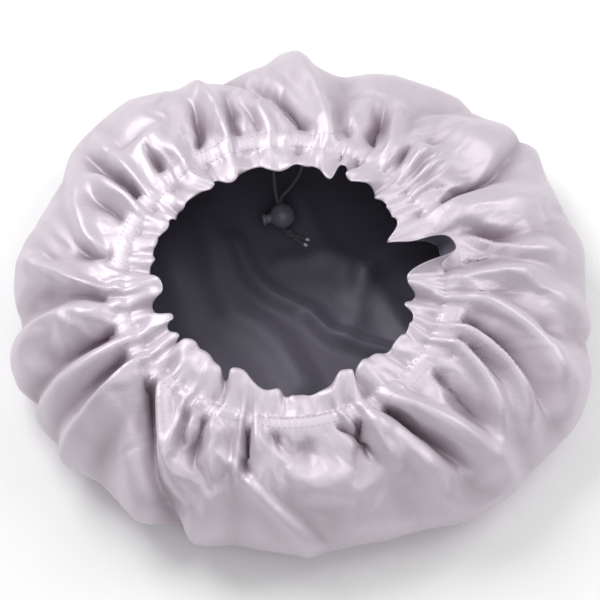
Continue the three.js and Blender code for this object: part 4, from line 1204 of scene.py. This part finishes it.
def bore_rod(middle, half_length, half_span, radius):
    """Closed rod along the bore with a stadium-shaped section: half circles half_span to each side."""
    cosine, sine = circle(ROD_SIDES)
    along = radius * cosine + np.where(cosine >= 0, 1.0, -1.0) * half_span
    ring = along * BUTTON_AXIS + radius * sine * np.cross(BORE_AXIS, BUTTON_AXIS)
    reach = BORE_AXIS * half_length
    return tube_mesh(np.stack([middle - reach + ring, middle + reach + ring]))


def braid_map(grid):
    """Map of a tube: turns round it, and metres along it, for each point and its two end points."""
    sides = grid.shape[1]
    along = arc_lengths(grid.mean(1)) * MM
    values = np.stack(np.broadcast_arrays(np.arange(sides) / sides, along[:, None]), -1).reshape(-1, 2)
    return np.concatenate([values, [[0.0, 0.0]], [[0.0, along[-1]]]])


# Stage: sensor width in mm, width seen at the object in metres, the object's middle in a picture of 600
# pixels, cells of the floor's grid, the studio's brightness level with the floor and overhead, and the
# softboxes as place, side in metres and power in watts.
SENSOR_WIDTH = 36.0
SEEN_WIDTH = 0.376
PICTURE_SIDE = 600.0
PICTURE_MIDDLE = (303.5, 281.0)
FLOOR_CELLS = 8
LOW_LIGHT = 0.06
OVERHEAD_LIGHT = 0.66
SOFTBOXES = [
    ((-0.7, 0.6, 1.1), 0.8, 12.5),
    ((0.95, 0.3, 0.9), 0.8, 6.0),
    ((0.1, -1.1, 1.1), 0.9, 3.0),
]

# Gathering stitches, in millimetres: one to the next, thread radius and sides, and each stitch's points
# as shares of its pitch and heights over the cloth.
STITCH_PITCH = 3.2
THREAD_RADIUS = 0.15
THREAD_SIDES = 5
STITCH_SHARES = np.array([0.1, 0.3, 0.5, 0.7])
STITCH_HEIGHTS = np.array([-0.15, 0.2, 0.2, -0.15])


# Operators.


class BONNET_OT_stage(Operator):
    """Adds the camera at the photographed angle, the pale floor and the soft studio lights."""

    bl_idname = "bonnet.stage"
    bl_label = "Camera and stage"

    def execute(self, context):
        settings = context.scene.bonnet_stage
        target = Vector((FRAME_SHIFT[0] * MM, FRAME_SHIFT[1] * MM, 0.04))
        lens = bpy.data.cameras.new("camera")
        lens.sensor_width = SENSOR_WIDTH
        lens.lens = SENSOR_WIDTH * settings.distance / SEEN_WIDTH
        lens.shift_x = -(PICTURE_MIDDLE[0] / PICTURE_SIDE - 0.5)
        lens.shift_y = PICTURE_MIDDLE[1] / PICTURE_SIDE - 0.5
        camera = bpy.data.objects.new("camera", lens)
        away = Vector((0.0, -np.cos(settings.elevation), np.sin(settings.elevation)))
        camera.location = target + away * settings.distance
        camera.rotation_euler = (target - camera.location).to_track_quat("-Z", "Y").to_euler()
        context.scene.collection.objects.link(camera)
        context.scene.camera = camera

        half = settings.floor_size / 2.0
        side = FLOOR_CELLS + 1
        share = np.linspace(-1.0, 1.0, side)
        x, y = np.meshgrid(share * half, share * half)
        points = np.stack([x, y, np.zeros_like(x)], -1).reshape(-1, 3)
        corner = np.arange(FLOOR_CELLS)[:, None] * side + np.arange(FLOOR_CELLS)[None, :]
        faces = np.stack([corner, corner + 1, corner + side + 1, corner + side], -1).reshape(-1, 4)
        paper = paper_floor("background_paper", "f6f6f6")
        floor = mesh_piece("floor", points, faces.tolist(), paper, None)

        for index, (place, size, power) in enumerate(SOFTBOXES):
            lamp = bpy.data.lights.new(f"softbox_{index}", "AREA")
            lamp.size = size
            lamp.energy = power
            light = bpy.data.objects.new(f"softbox_{index}", lamp)
            light.location = place
            light.rotation_euler = (target - light.location).to_track_quat("-Z", "Y").to_euler()
            context.scene.collection.objects.link(light)

        world = bpy.data.worlds.new("studio")
        world.use_nodes = True
        tree = world.node_tree
        background = tree.nodes["Background"]
        background.inputs["Color"].default_value = (1.0, 1.0, 1.0, 1.0)
        sky = add_node(tree, "ShaderNodeTexCoord").outputs["Generated"]
        parts = add_node(tree, "ShaderNodeSeparateXYZ", None, {"Vector": sky})
        range_ends = {"To Min": LOW_LIGHT, "To Max": OVERHEAD_LIGHT}
        level = add_node(tree, "ShaderNodeMapRange", range_ends, {"Value": parts.outputs["Z"]})
        tree.links.new(level.outputs["Result"], background.inputs["Strength"])
        context.scene.world = world
        context.scene.view_settings.view_transform = "Standard"
        return {"FINISHED"}


class BONNET_OT_cords(Operator):
    """Makes the two free cord ends, the knot with its tails and the sealed white tips, after the lock
    that they run through."""

    bl_idname = "bonnet.cords"
    bl_label = "Cords and knot"

    def execute(self, context):
        settings = context.scene.bonnet_cord
        radius = settings.diameter / 2.0
        material = braided_cord("braided_black_cord", "565460")
        knot_centre = KNOT_CENTRE + FRAME_SHIFT

        # Trefoil: sin t + 2 sin 2t, cos t - 2 cos 2t and -1.2 sin 3t, 3 wide.
        turns = np.linspace(0.0, 2.0 * np.pi, KNOT_POINTS + 1)[:-1]
        scale = (settings.knot_radius - 0.9) / 3.0
        loop = np.stack(
            [
                np.sin(turns) + 2.0 * np.sin(2.0 * turns),
                np.cos(turns) - 2.0 * np.cos(2.0 * turns),
                -1.2 * np.sin(3.0 * turns),
            ],
            -1,
        )
        closed = np.concatenate([loop, loop[:1]])
        grids = [tube(knot_centre + scale * closed, radius * 0.95, CORD_SIDES)]
        tips = {}
        for side, end in TAIL_ENDS.items():
            end = end + FRAME_SHIFT
            direction = unit((end - knot_centre) * np.array([1.0, 1.0, 0.0]))
            bend = end - direction * 6.0
            path = along_path([knot_centre + [0.0, 0.0, 0.6], bend + [0.0, 0.0, 0.35], end], TAIL_POINTS)
            grids.append(tube(path, radius, CORD_SIDES))
            tips[side] = (end, direction)
        points, faces = joined([tube_mesh(grid) for grid in grids])
        knot = mesh_piece("cord_knot_tied", points * MM, faces, material)
        set_uv(knot.data, "braid", np.concatenate([braid_map(grid) for grid in grids]))
        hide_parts("cord_knot")

        white = moulded_plastic("sealed_white_tip", "eceae6", 0.45, 1500.0)
        end = settings.tip_length
        profile = [(0.3, 0.0), (0.3, 0.75 * radius), (0.45, 0.96 * radius), (0.8, radius)]
        profile += [(end - 0.3, radius), (end, 0.93 * radius), (end + 0.2, 0.7 * radius)]
        profile += [(end + 0.3, 0.35 * radius), (end + 0.3, 0.0)]
        for side, (start, direction) in tips.items():
            points, faces = turned_surface(profile, TIP_SIDES, start, direction)
            tip = mesh_piece(f"sealed_tip_{side}", points * MM, faces, white)
            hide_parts(f"cord_tip_{side}")

        for side in ("left", "right"):
            path = strand_path(side, STRAND_POINTS)
            grid = tube(path, radius, CORD_SIDES)
            points, faces = tube_mesh(grid)
            strand = mesh_piece(f"cord_end_{side}", points * MM, faces, material)
            set_uv(strand.data, "braid", braid_map(grid))
            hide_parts(f"cord_{side}")

        hidden = moulded_plastic("hidden_cord_in_channel", "17171b", 0.7, 900.0)
        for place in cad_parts["drawcord_ring"].material_slots:
            place.material = hidden
        return {"FINISHED"}


class BONNET_OT_cord_lock(Operator):
    """Makes the ball with its bore and its rimmed plunger hole, and the flanged push button."""

    bl_idname = "bonnet.cord_lock"
    bl_label = "Cord lock"

    def execute(self, context):
        settings = context.scene.bonnet_lock
        plastic = moulded_plastic("moulded_black_abs", "7a7782", 0.4, 2500.0)
        centre = BALL_CENTRE + FRAME_SHIFT
        radius = settings.ball_diameter / 2.0
        neck = settings.plunger_diameter / 2.0

        # Along the button's axis: a full sphere, then a low flat rim round the plunger's hole.
        rim = neck + RIM_WIDTH
        flat = np.sqrt(radius**2 - rim**2)
        top = flat + RIM_HEIGHT
        angles = np.linspace(np.pi, np.arccos(flat / radius), 40)
        profile = [(radius * np.cos(a), radius * np.sin(a)) for a in angles]
        profile[0] = (-radius, 0.0)
        profile += [(top - 0.15, rim - 0.1), (top, rim - 0.35), (top, neck + 0.35), (top, 0.0)]
        points, faces = turned_surface(profile, BALL_SIDES, centre, BUTTON_AXIS)
        ball = mesh_piece("lock_ball", points * MM, faces, plastic)
        face_outward(ball)
        wall = neck + HOLE_FIT
        profile = [(HOLE_END, 0.0), (HOLE_END, wall), (radius * 2.0, wall), (radius * 2.0, 0.0)]
        hole = cutter("cut_hole", *turned_surface(profile, HOLE_SIDES, centre, BUTTON_AXIS))
        bore = cutter("cut_bore", *bore_rod(centre, 12.0, BORE_HALF_SPAN, BORE_RADIUS))
        cut_away(ball, [hole, bore])
        shade_by_angle(ball)
        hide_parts("toggle_ball")

        # The plunger with a chamfered end, and its cap with round edges and a shallow dish.
        cap = settings.cap_diameter / 2.0
        end = PLUNGER_END
        under = CAP_UNDERSIDE
        top = CAP_TOP
        profile = [(end, 0.0), (end, neck - 0.3), (end + 0.3, neck), (under - 0.3, neck)]
        profile += [(under, neck + 0.25), (under, cap - 0.3), (under + 0.15, cap - 0.08), (under + 0.4, cap)]
        profile += [(top - 0.9, cap), (top - 0.45, cap - 0.12), (top - 0.15, cap - 0.45), (top, cap - 0.95)]
        profile += [(top, cap * 0.45), (top - 0.18, cap * 0.38), (top - 0.2, 0.0)]
        points, faces = turned_surface(profile, BUTTON_SIDES, centre, BUTTON_AXIS)
        button = mesh_piece("lock_button", points * MM, faces, plastic, body="button")
        face_outward(button)
        slot_middle = centre + BUTTON_AXIS * SLOT_PLACE
        cut_away(button, [cutter("cut_slot", *bore_rod(slot_middle, 8.0, SLOT_HALF_SPAN, SLOT_RADIUS))])
        shade_by_angle(button)
        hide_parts("toggle_button")
        return {"FINISHED"}


class BONNET_OT_outer_shell(Operator):
    """Makes the grey satin layer with its crown folds, cord channel and ruffle."""

    bl_idname = "bonnet.outer_shell"
    bl_label = "Outer shell"

    def execute(self, context):
        settings = context.scene.bonnet_shell
        grid, places, heights = draped_shell(settings)
        # Painted shade: deep hollows of the folds are coloured darker, towards the mauve 7d6a76, less so
        # towards the widest line and below it.
        hollow = softened(heights, 12, 3) - heights
        near = [1.0 - 0.5 * smoothstep(way, 0.2, 0.8) if zone == "crown" else 0.5 for zone, way in places]
        painted_shade = softened(np.clip((hollow - 0.4) / 3.5, 0.0, 1.0) * np.array(near)[:, None], 3, 1)
        material = satin("silver_lilac_satin", settings.colour, "7d6a76", "dcd8de", 0.48, 0.33, 0.2)
        shell, radius = cloth_piece(
            "satin_shell", grid, painted_shade, material, settings.thickness, flip=False
        )
        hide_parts("outer_shell", "outer_ruffle")
        return {"FINISHED"}


class BONNET_OT_lining(Operator):
    """Makes the charcoal satin layer inside the shell and under the ruffle."""

    bl_idname = "bonnet.lining"
    bl_label = "Lining"

    def execute(self, context):
        settings = context.scene.bonnet_lining
        grid = lining_grid(context.scene.bonnet_shell, settings)
        # The lining gets no painted shade in its hollows, so its shade colour 2c2a34 never shows.
        painted_shade = np.zeros(grid.shape[:2])
        material = satin("charcoal_satin", settings.colour, "2c2a34", "c4c0d0", 0.55, 0.12, 0.35)
        lining, radius = cloth_piece(
            "satin_lining", grid, painted_shade, material, settings.thickness, flip=True
        )
        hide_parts("lining")
        return {"FINISHED"}


class BONNET_OT_stitches(Operator):
    """Makes the two rows of gathering stitches that hold the cord channel."""

    bl_idname = "bonnet.stitches"
    bl_label = "Gathering stitches"

    def execute(self, context):
        grid, places, _ = draped_shell(context.scene.bonnet_shell)
        normals = grid_normals(grid)
        thread = moulded_plastic("polyester_thread", "d2c8d3", 0.55, 2000.0)
        parts = []
        for way in (0.0, CHANNEL_END):
            row = min(
                range(len(places)),
                key=lambda index: abs(places[index][1] - way) if places[index][0] == "crown" else 9.0,
            )
            line = np.concatenate([grid[row], grid[row][:1]])
            facing = np.concatenate([normals[row], normals[row][:1]])
            arc = arc_lengths(line)
            count = int(arc[-1] / STITCH_PITCH)
            for index in range(count):
                at = arc[-1] * (index + STITCH_SHARES) / count
                stitch = at_lengths(at, arc, line) + at_lengths(at, arc, facing) * STITCH_HEIGHTS[:, None]
                parts.append(tube_mesh(tube(stitch, THREAD_RADIUS, THREAD_SIDES)))
        points, faces = joined(parts)
        mesh_piece("gathering_stitches", (points + FRAME_SHIFT) * MM, faces, thread)
        return {"FINISHED"}


class BONNET_PT_panel(Panel):
    """Lists the pieces of the bonnet."""

    bl_idname = "BONNET_PT_panel"
    bl_label = "Satin bonnet"
    bl_space_type = "VIEW_3D"
    bl_region_type = "UI"
    bl_category = "Bonnet"

    def draw(self, context):
        for operator in OPERATORS:
            self.layout.operator(operator.bl_idname)


OPERATORS = (
    BONNET_OT_stage,
    BONNET_OT_cord_lock,
    BONNET_OT_cords,
    BONNET_OT_outer_shell,
    BONNET_OT_lining,
    BONNET_OT_stitches,
)
GROUPS = {
    "bonnet_shell": ShellSettings,
    "bonnet_lining": LiningSettings,
    "bonnet_cord": CordSettings,
    "bonnet_lock": LockSettings,
    "bonnet_stage": StageSettings,
}


def register():
    """Registers the settings, operators and panel."""
    for name, group in GROUPS.items():
        bpy.utils.register_class(group)
        setattr(bpy.types.Scene, name, PointerProperty(type=group))
    for operator in OPERATORS:
        bpy.utils.register_class(operator)
    bpy.utils.register_class(BONNET_PT_panel)


def unregister():
    """Unregisters them again."""
    bpy.utils.unregister_class(BONNET_PT_panel)
    for operator in reversed(OPERATORS):
        bpy.utils.unregister_class(operator)
    for name, group in GROUPS.items():
        delattr(bpy.types.Scene, name)
        bpy.utils.unregister_class(group)


def main():
    """Makes every piece."""
    register()
    bpy.ops.bonnet.stage()
    bpy.ops.bonnet.cord_lock()
    bpy.ops.bonnet.cords()
    bpy.ops.bonnet.outer_shell()
    bpy.ops.bonnet.lining()
    bpy.ops.bonnet.stitches()
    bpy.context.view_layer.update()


if __name__ == "__main__":
    main()
